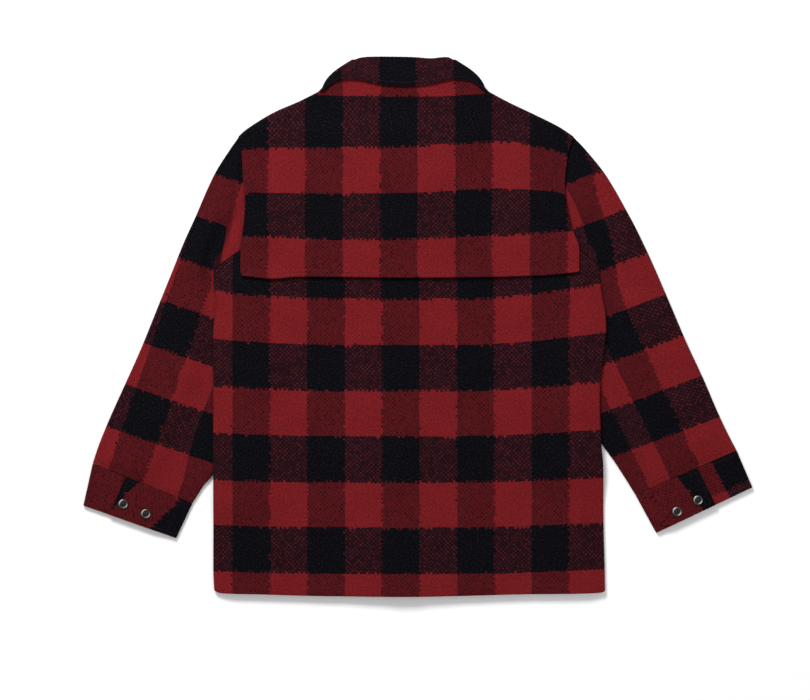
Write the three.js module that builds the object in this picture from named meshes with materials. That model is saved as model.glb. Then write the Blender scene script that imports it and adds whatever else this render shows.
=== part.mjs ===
// Shirt jacket in heavy checked wool, laid flat on a surface with its back up.
// Millimetres. +X is to the right as seen from above, +Y towards the collar, +Z up.
// The origin lies on the surface, under the middle of the jacket.
import * as THREE from 'three';

// Cloth
const CLOTH = 2.4;
const SEAM_GAP = 0.3;
const LAYER_GAP = 1.2;
const FOLD_IN = LAYER_GAP / 2;
const FOLD_OUT = FOLD_IN + CLOTH;
const STEP_UP = CLOTH + SEAM_GAP;
const EDGE_STEP = FOLD_OUT / 3;

// Middle of the jacket's outline, which the origin lies under
const MIDDLE = { x: -0.25, y: -1.55 };

// Body, seen from above
const SHOULDER_HEIGHT = 291;
const BODY_EDGES = [
  { y: -409, left: -312.5, right: 287 },
  { y: -380, left: -314, right: 286.5 },
  { y: -300, left: -314, right: 284.5 },
  { y: -215, left: -314, right: 284 },
  { y: -180, left: -314, right: 281 },
  { y: -90, left: -314, right: 279.5 },
  { y: -14, left: -314, right: 288.5 },
  { y: 20, left: -311, right: 287.5 },
  { y: 40, left: -309, right: 283.5 },
  { y: 62, left: -313.5, right: 280.5 },
  { y: 83, left: -312, right: 279.5 },
  { y: 92, left: -305, right: 276 },
  { y: 100, left: -295, right: 269.5 },
  { y: 108, left: -284, right: 259 },
  { y: 114.5, left: -274.5, right: 250 },
  { y: 127, left: -272, right: 245.3 },
  { y: 150, left: -268, right: 236 },
  { y: 176, left: -265.5, right: 230 },
  { y: 194, left: -265, right: 226.5 },
  { y: 211, left: -266, right: 225 },
  { y: 234, left: -268.5, right: 226 },
  { y: 271, left: -271, right: 231.5 },
  { y: 291, left: -276, right: 239.5 },
];
const TOP_LINE = [
  { x: -276, y: 289 },
  { x: -264, y: 300 },
  { x: -224, y: 325 },
  { x: -181, y: 344 },
  { x: -152, y: 355.5 },
  { x: -142, y: 361 },
  { x: -128, y: 373 },
  { x: -110, y: 378.5 },
  { x: -80, y: 380 },
  { x: 36, y: 380 },
  { x: 66, y: 378.5 },
  { x: 84, y: 373 },
  { x: 98, y: 361 },
  { x: 108, y: 355.5 },
  { x: 137, y: 343 },
  { x: 175, y: 325 },
  { x: 216, y: 304.5 },
  { x: 239.5, y: 289 },
];
const HEM_LINE = [
  { x: -314, y: -406 },
  { x: -306, y: -410 },
  { x: -245, y: -412 },
  { x: -150, y: -414.5 },
  { x: 0, y: -415.5 },
  { x: 153, y: -412 },
  { x: 279, y: -409.5 },
  { x: 287, y: -404 },
];
const FRONT_HEM_SHORTER = 3;
const ARMHOLE_FOOT = 0.755;
const ARMHOLE_FOOT_HEIGHT = 114;
const SIDE_ROWS = { until: 0.63, count: 9 };
const UNDERARM_ROWS = 8;
const ARMHOLE_ROWS = 7;
const CAPE_ALLOWANCE = 3.1;
const ROLL_STARTS_OVER = 16;
const BACK_SHARES = [
  0, 0.044, 0.097, 0.16, 0.22, 0.318, 0.42, 0.464, 0.508, 0.553, 0.654, 0.787, 0.845, 0.904, 0.955, 1,
];
const FRONT_SHARES = {
  left: [0, 0.085, 0.19, 0.31, 0.43, 0.56, 0.69, 0.82, 0.865, 0.908, 1],
  right: [0, 0.0875, 0.1125, 0.16, 0.21, 0.38, 0.6, 0.71, 0.82, 0.91, 1],
};

// Back cape, free at its lower edge
const CAPE_SIDES = { left: -272, right: 247 };
const CAPE_FOOT = [
  { x: -272, y: 77 },
  { x: -224, y: 72 },
  { x: -181, y: 75 },
  { x: 0, y: 73.5 },
  { x: 187, y: 77 },
  { x: 247, y: 83 },
];
const CAPE_ROWS = 11;
const CAPE_CLEARANCE = 1.45;

// Fronts, closed left over right
const FRONT_MIDDLE = -22;
const FRONT_LAP = 18;
const LAP_SLOPE = 34;
const LAP_STEP = STEP_UP + SEAM_GAP;
const BACK_LAP = { half: 40, slope: 60 };
const FRONT_NECK_LOW = 298;
const FRONT_SNAPS = { first: 272, spacing: 100, count: 7, lift: 2.3, halfWidth: 13, slope: 26 };

// Collar, turned down all round the neck
const NECK_SIDE_HEIGHT = 361;
const NECK_FOOT_HALF = 116;
const COLLAR_FOLD = { half: 75.5, top: 412.5, side: 409.5, frontLow: 330 };
const COLLAR_EDGE = { half: 123, side: 358.5, frontLow: 252, rise: 2.4 };
const LEAF_EDGE = [
  { aside: 0, y: 366 },
  { aside: 0.3, y: 369 },
  { aside: 0.6, y: 376.5 },
  { aside: 0.82, y: 374.5 },
  { aside: 0.95, y: 366 },
  { aside: 1, y: COLLAR_EDGE.side },
];
const COLLAR_BULGE = { size: 7, ends: 0.87 };
const LEAF_OPEN = { fold: 0.06, edge: 0.34 };
const STAND_OPEN = 0.02;
const FOLD_RIM = SEAM_GAP / 2;
const FOLD_RIM_OUT = FOLD_RIM + CLOTH;
const LEAF_RADIUS = FOLD_OUT + STEP_UP;
const RIM_RADIUS = FOLD_OUT + FOLD_RIM;
const LEAF_SPREADS_AT = 0.75;
const LEAF_FALL = { beyond: 1.6, curve: 1.7 };
const LEAF_MARGIN = 30;
const LEAF_SLOPE = 75;
const NECK_SEAM = { back: 3.5, front: 2.2 };
const STAND_SHORT = 1.2;
const FRONT_NECK_STEPS = 5;
const BACK_NECK_STEPS = 10;
const LEAF_STEPS = 5;
const STAND_STEPS = 4;

// Sleeves: each row is one section, from the outer fold to the inner fold.
// Tuck is how far the inner fold lies under the side of the body.
const SLEEVE_SECTIONS = {
  left: [
    { ring: 0, outerX: -275.5, outerY: 290, innerY: 116.5, tuck: -1 },
    { ring: 1, outerX: -289.5, outerY: 270, innerY: 108, tuck: -2 },
    { ring: 2, outerX: -310, outerY: 237.5, innerY: 97, tuck: -2 },
    { ring: 3, outerX: -325.5, outerY: 205, innerY: 82, tuck: -2 },
    { ring: 4, outerX: -341, outerY: 168, innerY: 62, tuck: -1.4 },
    { ring: 5, outerX: -359.5, outerY: 127, innerY: 40, tuck: -1.4 },
    { ring: 6, outerX: -378, outerY: 81, innerY: 8, tuck: 26 },
    { ring: 7, outerX: -401, outerY: 24, innerY: -38, tuck: 48 },
    { ring: 8, outerX: -424, outerY: -33, innerY: -96, tuck: 52 },
    { ring: 9, outerX: -448.5, outerY: -88, innerY: -157, tuck: 38 },
    { ring: 10, outerX: -472, outerY: -140, innerY: -219, tuck: 4 },
    { ring: 11, outerX: -488.5, outerY: -180, innerY: -247, tuck: -16 },
    { ring: 12, outerX: -499, outerY: -211, innerY: -272, tuck: -32 },
  ],
  right: [
    { ring: 0, outerX: 239, outerY: 290, innerY: 116.5, tuck: -1 },
    { ring: 1, outerX: 258, outerY: 270, innerY: 108, tuck: -2 },
    { ring: 2, outerX: 284, outerY: 238, innerY: 98, tuck: -2 },
    { ring: 3, outerX: 301.5, outerY: 210, innerY: 86, tuck: -2 },
    { ring: 4, outerX: 318, outerY: 180, innerY: 64, tuck: -1.4 },
    { ring: 5, outerX: 337, outerY: 144, innerY: 41, tuck: -1.4 },
    { ring: 6, outerX: 360, outerY: 95, innerY: 5, tuck: 24 },
    { ring: 7, outerX: 384, outerY: 39.5, innerY: -40, tuck: 46 },
    { ring: 8, outerX: 411.5, outerY: -25, innerY: -96, tuck: 44 },
    { ring: 9, outerX: 437, outerY: -80, innerY: -145, tuck: 28 },
    { ring: 10, outerX: 458, outerY: -129, innerY: -183, tuck: -2 },
    { ring: 11, outerX: 474, outerY: -163, innerY: -219, tuck: -24 },
    { ring: 12, outerX: 488.5, outerY: -191, innerY: -260, tuck: -49.5 },
  ],
};
const SLEEVE_RINGS = 24;
const SLEEVE_CROWN = 0.8;
const SWELL = { full: 0.4, slope: 0.25 };
const BOW_ENDS_AT = 5;
const ARMHOLE_GAP = 0.8;
const FOLD_STEPS = 4;
const TUCK_LIFT = 2 * FOLD_OUT + SEAM_GAP;
const TUCKED = {
  left: { start: 98, full: 42, end: -262, gone: -322, deep: -253, clear: -180 },
  right: { start: 98, full: 42, end: -216, gone: -276, deep: 227, clear: 157 },
};

// Cuffs, each a band that laps over itself near the outer fold
const CUFF_CLOTH = 2.6;
const CUFF_GAP = 0.8;
const CUFF_LEVELS = { lower: CUFF_CLOTH / 2, under: 1.5 * CUFF_CLOTH + CUFF_GAP };
const CUFF_LAP_RISE = CUFF_CLOTH + SEAM_GAP;
const LAP_LEVELS_OUT = 0.96;
const LAP_MARGIN = 0.02;
const CUFF_SEAM = 0.4;
const CUFF_STEPS = 4;
const CUFF_PATH_STEPS = { underlap: 4, lower: 5, upper: 8 };
const CUFFS = {
  left: {
    foot: { outerX: -513.5, outerY: -276, innerX: -371, innerY: -326 },
    lap: { top: 0.335, foot: 0.28, under: 0.7 },
    snaps: [{ x: -452, y: -273.5 }, { x: -417.5, y: -288.5 }],
  },
  right: {
    foot: { outerX: 513, outerY: -248, innerX: 365.5, innerY: -318 },
    lap: { top: 0.39, foot: 0.385, under: 0.79 },
    snaps: [{ x: 429, y: -267.5 }, { x: 397, y: -285 }],
  },
};

// Snaps
const SNAP = { radius: 7.4, bowl: 4.6, height: 2, floor: 0.9, rim: 0.7, sides: 12 };

// Largest soft ridges of the laid cloth
const BACK_RIDGES = [
  { x1: 242, y1: -150, x2: 245, y2: -405, width: 11, height: 1 },
  { x1: -262, y1: 55, x2: -170, y2: -10, width: 22, height: 1.6 },
  { x1: 235, y1: 60, x2: 150, y2: 5, width: 20, height: 1.5 },
  { x1: -150, y1: -250, x2: -135, y2: -440, width: 34, height: 1.3 },
  { x1: 70, y1: -230, x2: 88, y2: -440, width: 38, height: 1.2 },
  { x1: -230, y1: 250, x2: -150, y2: 120, width: 30, height: 1.1 },
  { x1: 195, y1: 255, x2: 120, y2: 130, width: 28, height: 1 },
];
const SLEEVE_RIDGES = [
  { ring: 4.5, across: 0.35, length: 1.6, width: 0.2, height: 1.3 },
  { ring: 7.4, across: 0.6, length: 1.1, width: 0.24, height: 1.5 },
  { ring: 9.2, across: 0.3, length: 1.2, width: 0.2, height: 1.2 },
  { ring: 11, across: 0.6, length: 0.9, width: 0.22, height: 1.1 },
];

const RED_CHECK = 0x7a1d22;
const SNAP_METAL = 0x8d8a86;

// Smooth curve through one named column of a table
function follow(rows, key, value, column) {
  const last = rows.length - 1;
  const at = THREE.MathUtils.clamp(value, rows[0][key], rows[last][key]);
  let i = 0;
  while (i < last - 1 && at > rows[i + 1][key]) i += 1;
  const slope = (k) => {
    const before = rows[Math.max(k - 1, 0)];
    const after = rows[Math.min(k + 1, last)];
    return (after[column] - before[column]) / (after[key] - before[key]);
  };
  const span = rows[i + 1][key] - rows[i][key];
  const f = (at - rows[i][key]) / span;
  const rest = 1 - f;
  return (1 + 2 * f) * rest * rest * rows[i][column] + f * rest * rest * span * slope(i)
    + f * f * (3 - 2 * f) * rows[i + 1][column] - f * f * rest * span * slope(i + 1);
}

function mix(a, b, f) {
  return a + (b - a) * f;
}

// 1 inside the edge, falling softly to 0 over the slope
function fade(distance, slope) {
  return 1 - THREE.MathUtils.smoothstep(distance, 0, slope);
}

// Closed body from the outer and inner points of one wall.
// A tube joins its last section to its first.
function clothWall(outer, inner, isTube = false) {
  const rows = outer.length;
  const columns = outer[0].length;
  const positions = [...outer.flat(), ...inner.flat()].flatMap((p) => [p.x, p.y, p.z]);
  const index = [];
  const inside = rows * columns;
  const at = (i, j) => (i % rows) * columns + j;
  const quad = (a, b, c, d) => index.push(a, b, c, a, c, d);
  const lastRow = isTube ? rows : rows - 1;
  for (let i = 0; i < lastRow; i += 1) {
    for (let j = 0; j < columns - 1; j += 1) {
      quad(at(i, j), at(i, j + 1), at(i + 1, j + 1), at(i + 1, j));
      quad(inside + at(i, j), inside + at(i + 1, j), inside + at(i + 1, j + 1), inside + at(i, j + 1));
    }
    const end = columns - 1;
    quad(at(i, 0), at(i + 1, 0), inside + at(i + 1, 0), inside + at(i, 0));
    quad(at(i + 1, end), at(i, end), inside + at(i, end), inside + at(i + 1, end));
  }
  if (!isTube) {
    for (let j = 0; j < columns - 1; j += 1) {
      const end = rows - 1;
      quad(at(0, j + 1), at(0, j), inside + at(0, j), inside + at(0, j + 1));
      quad(at(end, j), at(end, j + 1), inside + at(end, j + 1), inside + at(end, j));
    }
  }
  const geometry = new THREE.BufferGeometry();
  geometry.setAttribute('position', new THREE.Float32BufferAttribute(positions, 3));
  geometry.setIndex(signedVolume(positions, index) < 0 ? index.reverse() : index);
  geometry.computeVertexNormals();
  return geometry;
}

function signedVolume(positions, index) {
  const corner = (k) => new THREE.Vector3().fromArray(positions, 3 * index[k]);
  let volume = 0;
  for (let k = 0; k < index.length; k += 3) {
    volume += corner(k).dot(corner(k + 1).cross(corner(k + 2)));
  }
  return volume;
}

function clothMesh(name, geometry) {
  const material = new THREE.MeshStandardMaterial({ color: RED_CHECK, roughness: 0.95, metalness: 0 });
  const mesh = new THREE.Mesh(geometry, material);
  mesh.name = name;
  return mesh;
}

// Lower edge of the collar leaf where it lies under the fronts
function frontLeafEdge(aside) {
  const reach = Math.min(Math.abs(aside), LEAF_FALL.beyond) ** LEAF_FALL.curve;
  return mix(COLLAR_EDGE.frontLow, COLLAR_EDGE.side, reach);
}

// Height of the underside of the fronts over the surface
function liftAt(x, y) {
  const isLeft = x < FRONT_MIDDLE;
  const leafEdge = frontLeafEdge((x - FRONT_MIDDLE) / COLLAR_EDGE.half);
  const collar = STEP_UP * fade(leafEdge - LEAF_MARGIN - y, LEAF_SLOPE);
  const snapReach = Math.abs(x - FRONT_MIDDLE) - FRONT_SNAPS.halfWidth;
  const snaps = FRONT_SNAPS.lift * fade(snapReach, FRONT_SNAPS.slope);
  const tuck = isLeft ? TUCKED.left : TUCKED.right;
  const below = fade(y - tuck.full, tuck.start - tuck.full);
  const above = fade(tuck.end - y, tuck.end - tuck.gone);
  const inward = isLeft ? x - tuck.deep : tuck.deep - x;
  const sleeve = TUCK_LIFT * below * above * fade(inward, Math.abs(tuck.clear - tuck.deep));
  return Math.max(collar, snaps, sleeve);
}

// Extra height of the back over the lapped fronts
function lapLift(x, y) {
  const reach = Math.abs(x - FRONT_MIDDLE) - BACK_LAP.half;
  return STEP_UP * fade(reach, BACK_LAP.slope) * fade(y - FRONT_NECK_LOW, LAP_SLOPE);
}

// Extra height of the right front over the edge of the left one
function rightLapLift(x) {
  return LAP_STEP * fade(x - FRONT_MIDDLE - FRONT_LAP - EDGE_STEP, LAP_SLOPE);
}

// Height of one soft ridge along a line, gone where it runs out
function ridgeHeight(ridge, x, y) {
  const alongX = ridge.x2 - ridge.x1;
  const alongY = ridge.y2 - ridge.y1;
  const length = Math.hypot(alongX, alongY);
  const along = ((x - ridge.x1) * alongX + (y - ridge.y1) * alongY) / (length * length);
  const across = ((x - ridge.x1) * alongY - (y - ridge.y1) * alongX) / length;
  const swell = Math.sin(Math.PI * THREE.MathUtils.clamp(along, 0, 1));
  return ridge.height * swell * Math.exp(-((across / ridge.width) ** 2));
}

function backLift(x, y) {
  return BACK_RIDGES.reduce((sum, ridge) => sum + ridgeHeight(ridge, x, y), lapLift(x, y));
}

function bodyEdge(side, y) {
  return follow(BODY_EDGES, 'y', y, side);
}

// How far the top edge is rolled over: fully on the shoulders, not at the neck
function shoulderRoll(x) {
  return 1 - fade(Math.abs(x - FRONT_MIDDLE) - NECK_FOOT_HALF - FOLD_OUT, ROLL_STARTS_OVER);
}

function backTop(x) {
  return follow(TOP_LINE, 'x', x, 'y') - CAPE_ALLOWANCE * shoulderRoll(x);
}

function frontNeck(aside) {
  return mix(FRONT_NECK_LOW, NECK_SIDE_HEIGHT, aside * aside);
}

function frontTop(x) {
  const aside = (x - FRONT_MIDDLE) / (NECK_FOOT_HALF + FOLD_OUT);
  return Math.abs(aside) < 1 ? frontNeck(aside) : backTop(x);
}

// Lines across a panel: three at a rolled edge, then the flat of the cloth
function linesAcross(shares) {
  const turns = [0, Math.PI / 6, Math.PI / 3];
  const start = turns.map((turn, k) => ({ at: 'start', turn, step: k * EDGE_STEP }));
  const flat = shares.map((share) => ({ at: 'flat', share }));
  const end = [...start].reverse().map((line) => ({ ...line, at: 'end' }));
  return [...start, ...flat, ...end];
}

function evenShares(from, to, count) {
  return Array.from({ length: count }, (_, k) => mix(from, to, k / count));
}

function bodyShares() {
  return [
    ...evenShares(0, SIDE_ROWS.until, SIDE_ROWS.count),
    ...evenShares(SIDE_ROWS.until, ARMHOLE_FOOT, UNDERARM_ROWS),
    ...evenShares(ARMHOLE_FOOT, 1, ARMHOLE_ROWS),
    1,
  ];
}

// One face of a panel, at a radius from the middle of the fold at its edges.
// A panel gives its edges, how far each is rolled, which way up it lies and its lift.
function panelFace(panel, radius) {
  const inset = (line, rolled) => mix(line.step, FOLD_OUT - radius * Math.cos(line.turn), rolled);
  const turnOf = (line, rolled) => mix(1, Math.sin(line.turn), rolled);
  const columnX = (line, y) => {
    const left = panel.left(y);
    const right = panel.right(y);
    if (line.at === 'start') return left + inset(line, panel.leftRoll(y));
    if (line.at === 'end') return right - inset(line, panel.rightRoll(y));
    return mix(left + FOLD_OUT, right - FOLD_OUT, line.share);
  };
  const rows = [
    ...panel.shares.map((share) => ({ at: 'flat', share })),
    ...linesAcross([]).filter((line) => line.at === 'end'),
  ];
  return linesAcross(panel.columns).map((column) => rows.map((row) => {
    const topX = columnX(column, SHOULDER_HEIGHT);
    const footX = columnX(column, -SHOULDER_HEIGHT);
    const top = panel.top(topX);
    const topRoll = shoulderRoll(topX);
    const y = row.at === 'flat'
      ? mix(panel.foot(footX), top - FOLD_OUT, row.share)
      : top - inset(row, topRoll);
    const x = columnX(column, y);
    const sideRoll = x < FRONT_MIDDLE ? panel.leftRoll(y) : panel.rightRoll(y);
    const sideTurn = column.at === 'flat' ? 1 : turnOf(column, sideRoll);
    const turn = sideTurn * (row.at === 'flat' ? 1 : turnOf(row, topRoll));
    const height = Math.max(radius * turn, SEAM_GAP / 2);
    const z = FOLD_OUT + liftAt(x, y) + panel.lift(x, y) * turn + panel.up * height;
    return new THREE.Vector3(x, y, z);
  }));
}

function panelWall(panel, inner, outer) {
  return clothWall(panelFace(panel, outer), panelFace(panel, inner));
}

function sideRoll(y) {
  return y < ARMHOLE_FOOT_HEIGHT ? 1 : 0;
}

function noRoll() {
  return 0;
}

function backPanel() {
  const panel = {
    left: (y) => bodyEdge('left', y),
    right: (y) => bodyEdge('right', y),
    leftRoll: sideRoll,
    rightRoll: sideRoll,
    top: backTop,
    foot: (x) => follow(HEM_LINE, 'x', x, 'y'),
    lift: backLift,
    shares: bodyShares(),
    columns: BACK_SHARES,
    up: 1,
  };
  return clothMesh('back_panel', panelWall(panel, FOLD_IN, FOLD_OUT));
}

// The cape lies on the back and follows its form
function backCape() {
  const under = FOLD_OUT + CAPE_CLEARANCE;
  const panel = {
    left: (y) => Math.max(bodyEdge('left', y), CAPE_SIDES.left),
    right: (y) => Math.min(bodyEdge('right', y), CAPE_SIDES.right),
    leftRoll: noRoll,
    rightRoll: noRoll,
    top: backTop,
    foot: (x) => follow(CAPE_FOOT, 'x', x, 'y'),
    lift: backLift,
    shares: [...evenShares(0, 1, CAPE_ROWS), 1],
    columns: BACK_SHARES,
    up: 1,
  };
  return clothMesh('back_cape', panelWall(panel, under, under + CLOTH));
}

function frontPanel(side) {
  const isLeft = side === 'left';
  const panel = {
    left: (y) => (isLeft ? bodyEdge('left', y) : FRONT_MIDDLE - FRONT_LAP),
    right: (y) => (isLeft ? FRONT_MIDDLE + FRONT_LAP : bodyEdge('right', y)),
    leftRoll: isLeft ? sideRoll : noRoll,
    rightRoll: isLeft ? noRoll : sideRoll,
    top: frontTop,
    foot: (x) => follow(HEM_LINE, 'x', x, 'y') + FRONT_HEM_SHORTER,
    lift: isLeft ? noRoll : rightLapLift,
    shares: bodyShares(),
    columns: FRONT_SHARES[side],
    up: -1,
  };
  return clothMesh(`front_${side}`, panelWall(panel, FOLD_IN, FOLD_OUT));
}

// Turns of a fold, from the upper layer round to the lower one
function foldTurns() {
  return Array.from({ length: FOLD_STEPS - 1 }, (_, k) => Math.PI * (0.5 - (k + 1) / FOLD_STEPS));
}

function sleeveSection(side, ring) {
  const rows = SLEEVE_SECTIONS[side];
  const outward = side === 'left' ? -1 : 1;
  const before = Math.min(Math.floor(ring), rows.length - 2);
  const tuck = mix(rows[before].tuck, rows[before + 1].tuck, ring - before);
  const outer = new THREE.Vector2(
    follow(rows, 'ring', ring, 'outerX'),
    follow(rows, 'ring', ring, 'outerY'),
  );
  const innerY = follow(rows, 'ring', ring, 'innerY');
  const inner = new THREE.Vector2(bodyEdge(side, innerY) - outward * tuck, innerY);
  const across = inner.clone().sub(outer).normalize();
  return { outer, inner, across, width: inner.distanceTo(outer), outward };
}

// How far the armhole bows from a straight line, as a share of its length from the shoulder
function armholeBow(side, share) {
  const { outer, inner, outward } = sleeveSection(side, 0);
  const y = mix(outer.y, inner.y, share);
  return bodyEdge(side, y) + outward * ARMHOLE_GAP - mix(outer.x, inner.x, share);
}

function sleeveSwell(ring, share) {
  const crown = SLEEVE_CROWN * Math.sin(Math.PI * share);
  return fade(share - SWELL.full, SWELL.slope) * SLEEVE_RIDGES.reduce((sum, ridge) => {
    const along = (ring - ridge.ring) / ridge.length;
    const across = (share - ridge.across) / ridge.width;
    return sum + ridge.height * Math.exp(-along * along - across * across);
  }, crown);
}

function sleeveFace(side, radius) {
  const lastRing = SLEEVE_SECTIONS[side].length - 1;
  const turns = foldTurns();
  const sections = Array.from({ length: SLEEVE_RINGS + 1 }, (_, k) => (lastRing * k) / SLEEVE_RINGS);
  const stations = [
    ...evenShares(0, 1, ARMHOLE_ROWS).map((share) => ({ share, upper: true })),
    { share: 1, upper: true },
    ...turns.map((turn) => ({ share: 1, turn })),
    { share: 1, upper: false },
    ...evenShares(1, 0, ARMHOLE_ROWS).slice(1).map((share) => ({ share, upper: false })),
    { share: 0, upper: false },
    ...[...turns].reverse().map((turn) => ({ share: 0, turn })),
  ];
  return stations.map((station) => sections.map((ring) => {
    const { outer, across, width } = sleeveSection(side, ring);
    const isFold = station.turn !== undefined;
    const reach = isFold ? radius * Math.cos(station.turn) : 0;
    const along = mix(FOLD_OUT, width - FOLD_OUT, station.share) + (station.share ? reach : -reach);
    const bow = armholeBow(side, station.share) * fade(ring, BOW_ENDS_AT);
    const rise = isFold ? radius * Math.sin(station.turn) : radius * (station.upper ? 1 : -1);
    const swell = station.upper ? sleeveSwell(ring, station.share) : 0;
    return new THREE.Vector3(
      outer.x + across.x * along + bow,
      outer.y + across.y * along,
      FOLD_OUT + rise + swell,
    );
  }));
}

function sleeve(side) {
  const wall = clothWall(sleeveFace(side, FOLD_OUT), sleeveFace(side, FOLD_IN), true);
  return clothMesh(`sleeve_${side}`, wall);
}

// The top of a cuff lies just below the last section of its sleeve
function cuffSection(side, down) {
  const lastRing = SLEEVE_SECTIONS[side].length - 1;
  const seam = sleeveSection(side, lastRing);
  const foot = CUFFS[side].foot;
  const footOuter = new THREE.Vector2(foot.outerX, foot.outerY);
  const footInner = new THREE.Vector2(foot.innerX, foot.innerY);
  const apart = footOuter.clone().sub(seam.outer).normalize().multiplyScalar(CUFF_SEAM);
  const outer = seam.outer.clone().add(apart).lerp(footOuter, down);
  const inner = seam.inner.clone().add(apart).lerp(footInner, down);
  const across = inner.clone().sub(outer).normalize();
  return { outer, across, width: inner.distanceTo(outer) };
}

function cuffLapRise(lap, share) {
  const start = lap.under + LAP_MARGIN;
  return CUFF_LAP_RISE * fade(share - start, LAP_LEVELS_OUT - start);
}

// Middle line of the cuff's cloth, from the end of the underlap round to the lap's end
function cuffPath(side, down, width) {
  const lap = CUFFS[side].lap;
  const lapEnd = mix(lap.top, lap.foot, down);
  const radius = (CUFF_LEVELS.under - CUFF_LEVELS.lower) / 2;
  const centre = CUFF_LEVELS.lower + radius;
  const edge = radius + CUFF_CLOTH / 2;
  const turns = foldTurns();
  const point = (x, y) => new THREE.Vector2(x, y);
  const near = edge / width;
  return [
    ...evenShares(lap.under, near, CUFF_PATH_STEPS.underlap)
      .map((share) => point(share * width, CUFF_LEVELS.under)),
    point(edge, CUFF_LEVELS.under),
    ...turns.map((turn) => point(edge - radius * Math.cos(turn), centre + radius * Math.sin(turn))),
    ...evenShares(near, 1 - near, CUFF_PATH_STEPS.lower)
      .map((share) => point(share * width, CUFF_LEVELS.lower)),
    point(width - edge, CUFF_LEVELS.lower),
    ...[...turns].reverse().map((turn) => point(
      width - edge + radius * Math.cos(turn),
      centre + radius * Math.sin(turn),
    )),
    point(width - edge, CUFF_LEVELS.under),
    ...evenShares(LAP_LEVELS_OUT, lapEnd, CUFF_PATH_STEPS.upper).concat(lapEnd)
      .map((share) => point(share * width, CUFF_LEVELS.under + cuffLapRise(lap, share))),
  ];
}

function cuffFace(side, offset) {
  const heights = [...evenShares(0, 1, CUFF_STEPS), 1];
  const faces = heights.map((down) => {
    const { outer, across, width } = cuffSection(side, down);
    const path = cuffPath(side, down, width);
    return path.map((point, k) => {
      const before = path[Math.max(k - 1, 0)];
      const after = path[Math.min(k + 1, path.length - 1)];
      const along = after.clone().sub(before).normalize();
      const reach = point.x + along.y * offset;
      return new THREE.Vector3(
        outer.x + across.x * reach,
        outer.y + across.y * reach,
        point.y - along.x * offset,
      );
    });
  });
  return faces[0].map((_, k) => faces.map((face) => face[k]));
}

function cuff(side) {
  const wall = clothWall(cuffFace(side, CUFF_CLOTH / 2), cuffFace(side, -CUFF_CLOTH / 2));
  return clothMesh(`cuff_${side}`, wall);
}

// Stations round the flattened neck, from one front edge over the back to the other
function neckStations() {
  const shares = (count) => evenShares(0, 1, count);
  const turns = foldTurns();
  const leftFront = shares(FRONT_NECK_STEPS).map((share) => ({ side: -1, share, turn: -Math.PI / 2 }));
  const leftFold = [-Math.PI / 2, ...[...turns].reverse()].map((turn) => ({ side: -1, share: 1, turn }));
  const back = [...shares(BACK_NECK_STEPS), 1].map((share) => ({ across: mix(-1, 1, share) }));
  const mirrored = [...leftFront, ...leftFold].reverse().map((station) => ({ ...station, side: 1 }));
  return [...leftFront, ...leftFold, ...back, ...mirrored];
}

// One point of the collar: loop gives its half width, middle height, radius and edges
function neckPoint(loop, station) {
  if (station.across !== undefined) {
    const x = FRONT_MIDDLE + station.across * loop.half;
    return new THREE.Vector3(x, loop.backY(station.across), loop.middle + loop.radius);
  }
  const aside = mix(loop.open, 1, station.share);
  const reach = loop.radius * Math.cos(station.turn);
  const x = FRONT_MIDDLE + station.side * (aside * loop.half + reach);
  return new THREE.Vector3(x, loop.frontY(aside), loop.middle + loop.radius * Math.sin(station.turn));
}

function foldBackY(across) {
  return mix(COLLAR_FOLD.top, COLLAR_FOLD.side, across ** 4) - FOLD_RIM_OUT;
}

function foldFrontY(aside) {
  return mix(COLLAR_FOLD.frontLow, COLLAR_FOLD.side - FOLD_RIM_OUT, aside * aside);
}

// The leaf runs from its lower edge up to the fold, and over it down to the stand
function leafFace(isOuter) {
  const fold = isOuter ? LEAF_RADIUS : LEAF_RADIUS - CLOTH;
  const rim = isOuter ? FOLD_RIM_OUT : FOLD_RIM;
  const fall = [0, ...evenShares(0, 1, LEAF_STEPS).slice(1), 1].reverse().map((down) => {
    const spread = Math.min(1, down / LEAF_SPREADS_AT) * COLLAR_EDGE.rise;
    const bulge = COLLAR_BULGE.size * Math.sin(Math.PI * Math.min(down / COLLAR_BULGE.ends, 1));
    return {
      half: mix(COLLAR_FOLD.half, COLLAR_EDGE.half, down) + bulge,
      middle: LEAF_RADIUS + spread,
      radius: fold + spread,
      open: mix(LEAF_OPEN.fold, LEAF_OPEN.edge, down),
      backY: (across) => mix(foldBackY(across), follow(LEAF_EDGE, 'aside', Math.abs(across), 'y'), down),
      frontY: (aside) => mix(foldFrontY(aside), frontLeafEdge(aside), down),
    };
  });
  const turns = [...foldTurns(), -Math.PI / 2];
  const over = turns.map((turn) => ({
    half: COLLAR_FOLD.half,
    middle: LEAF_RADIUS,
    radius: RIM_RADIUS + rim * Math.sin(turn),
    open: LEAF_OPEN.fold,
    backY: (across) => foldBackY(across) + rim * Math.cos(turn),
    frontY: (aside) => foldFrontY(aside) + rim * Math.cos(turn),
  }));
  const loops = [...fall, ...over];
  return neckStations().map((station) => loops.map((loop) => neckPoint(loop, station)));
}

function collarLeaf() {
  return clothMesh('collar_leaf', clothWall(leafFace(true), leafFace(false)));
}

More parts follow.
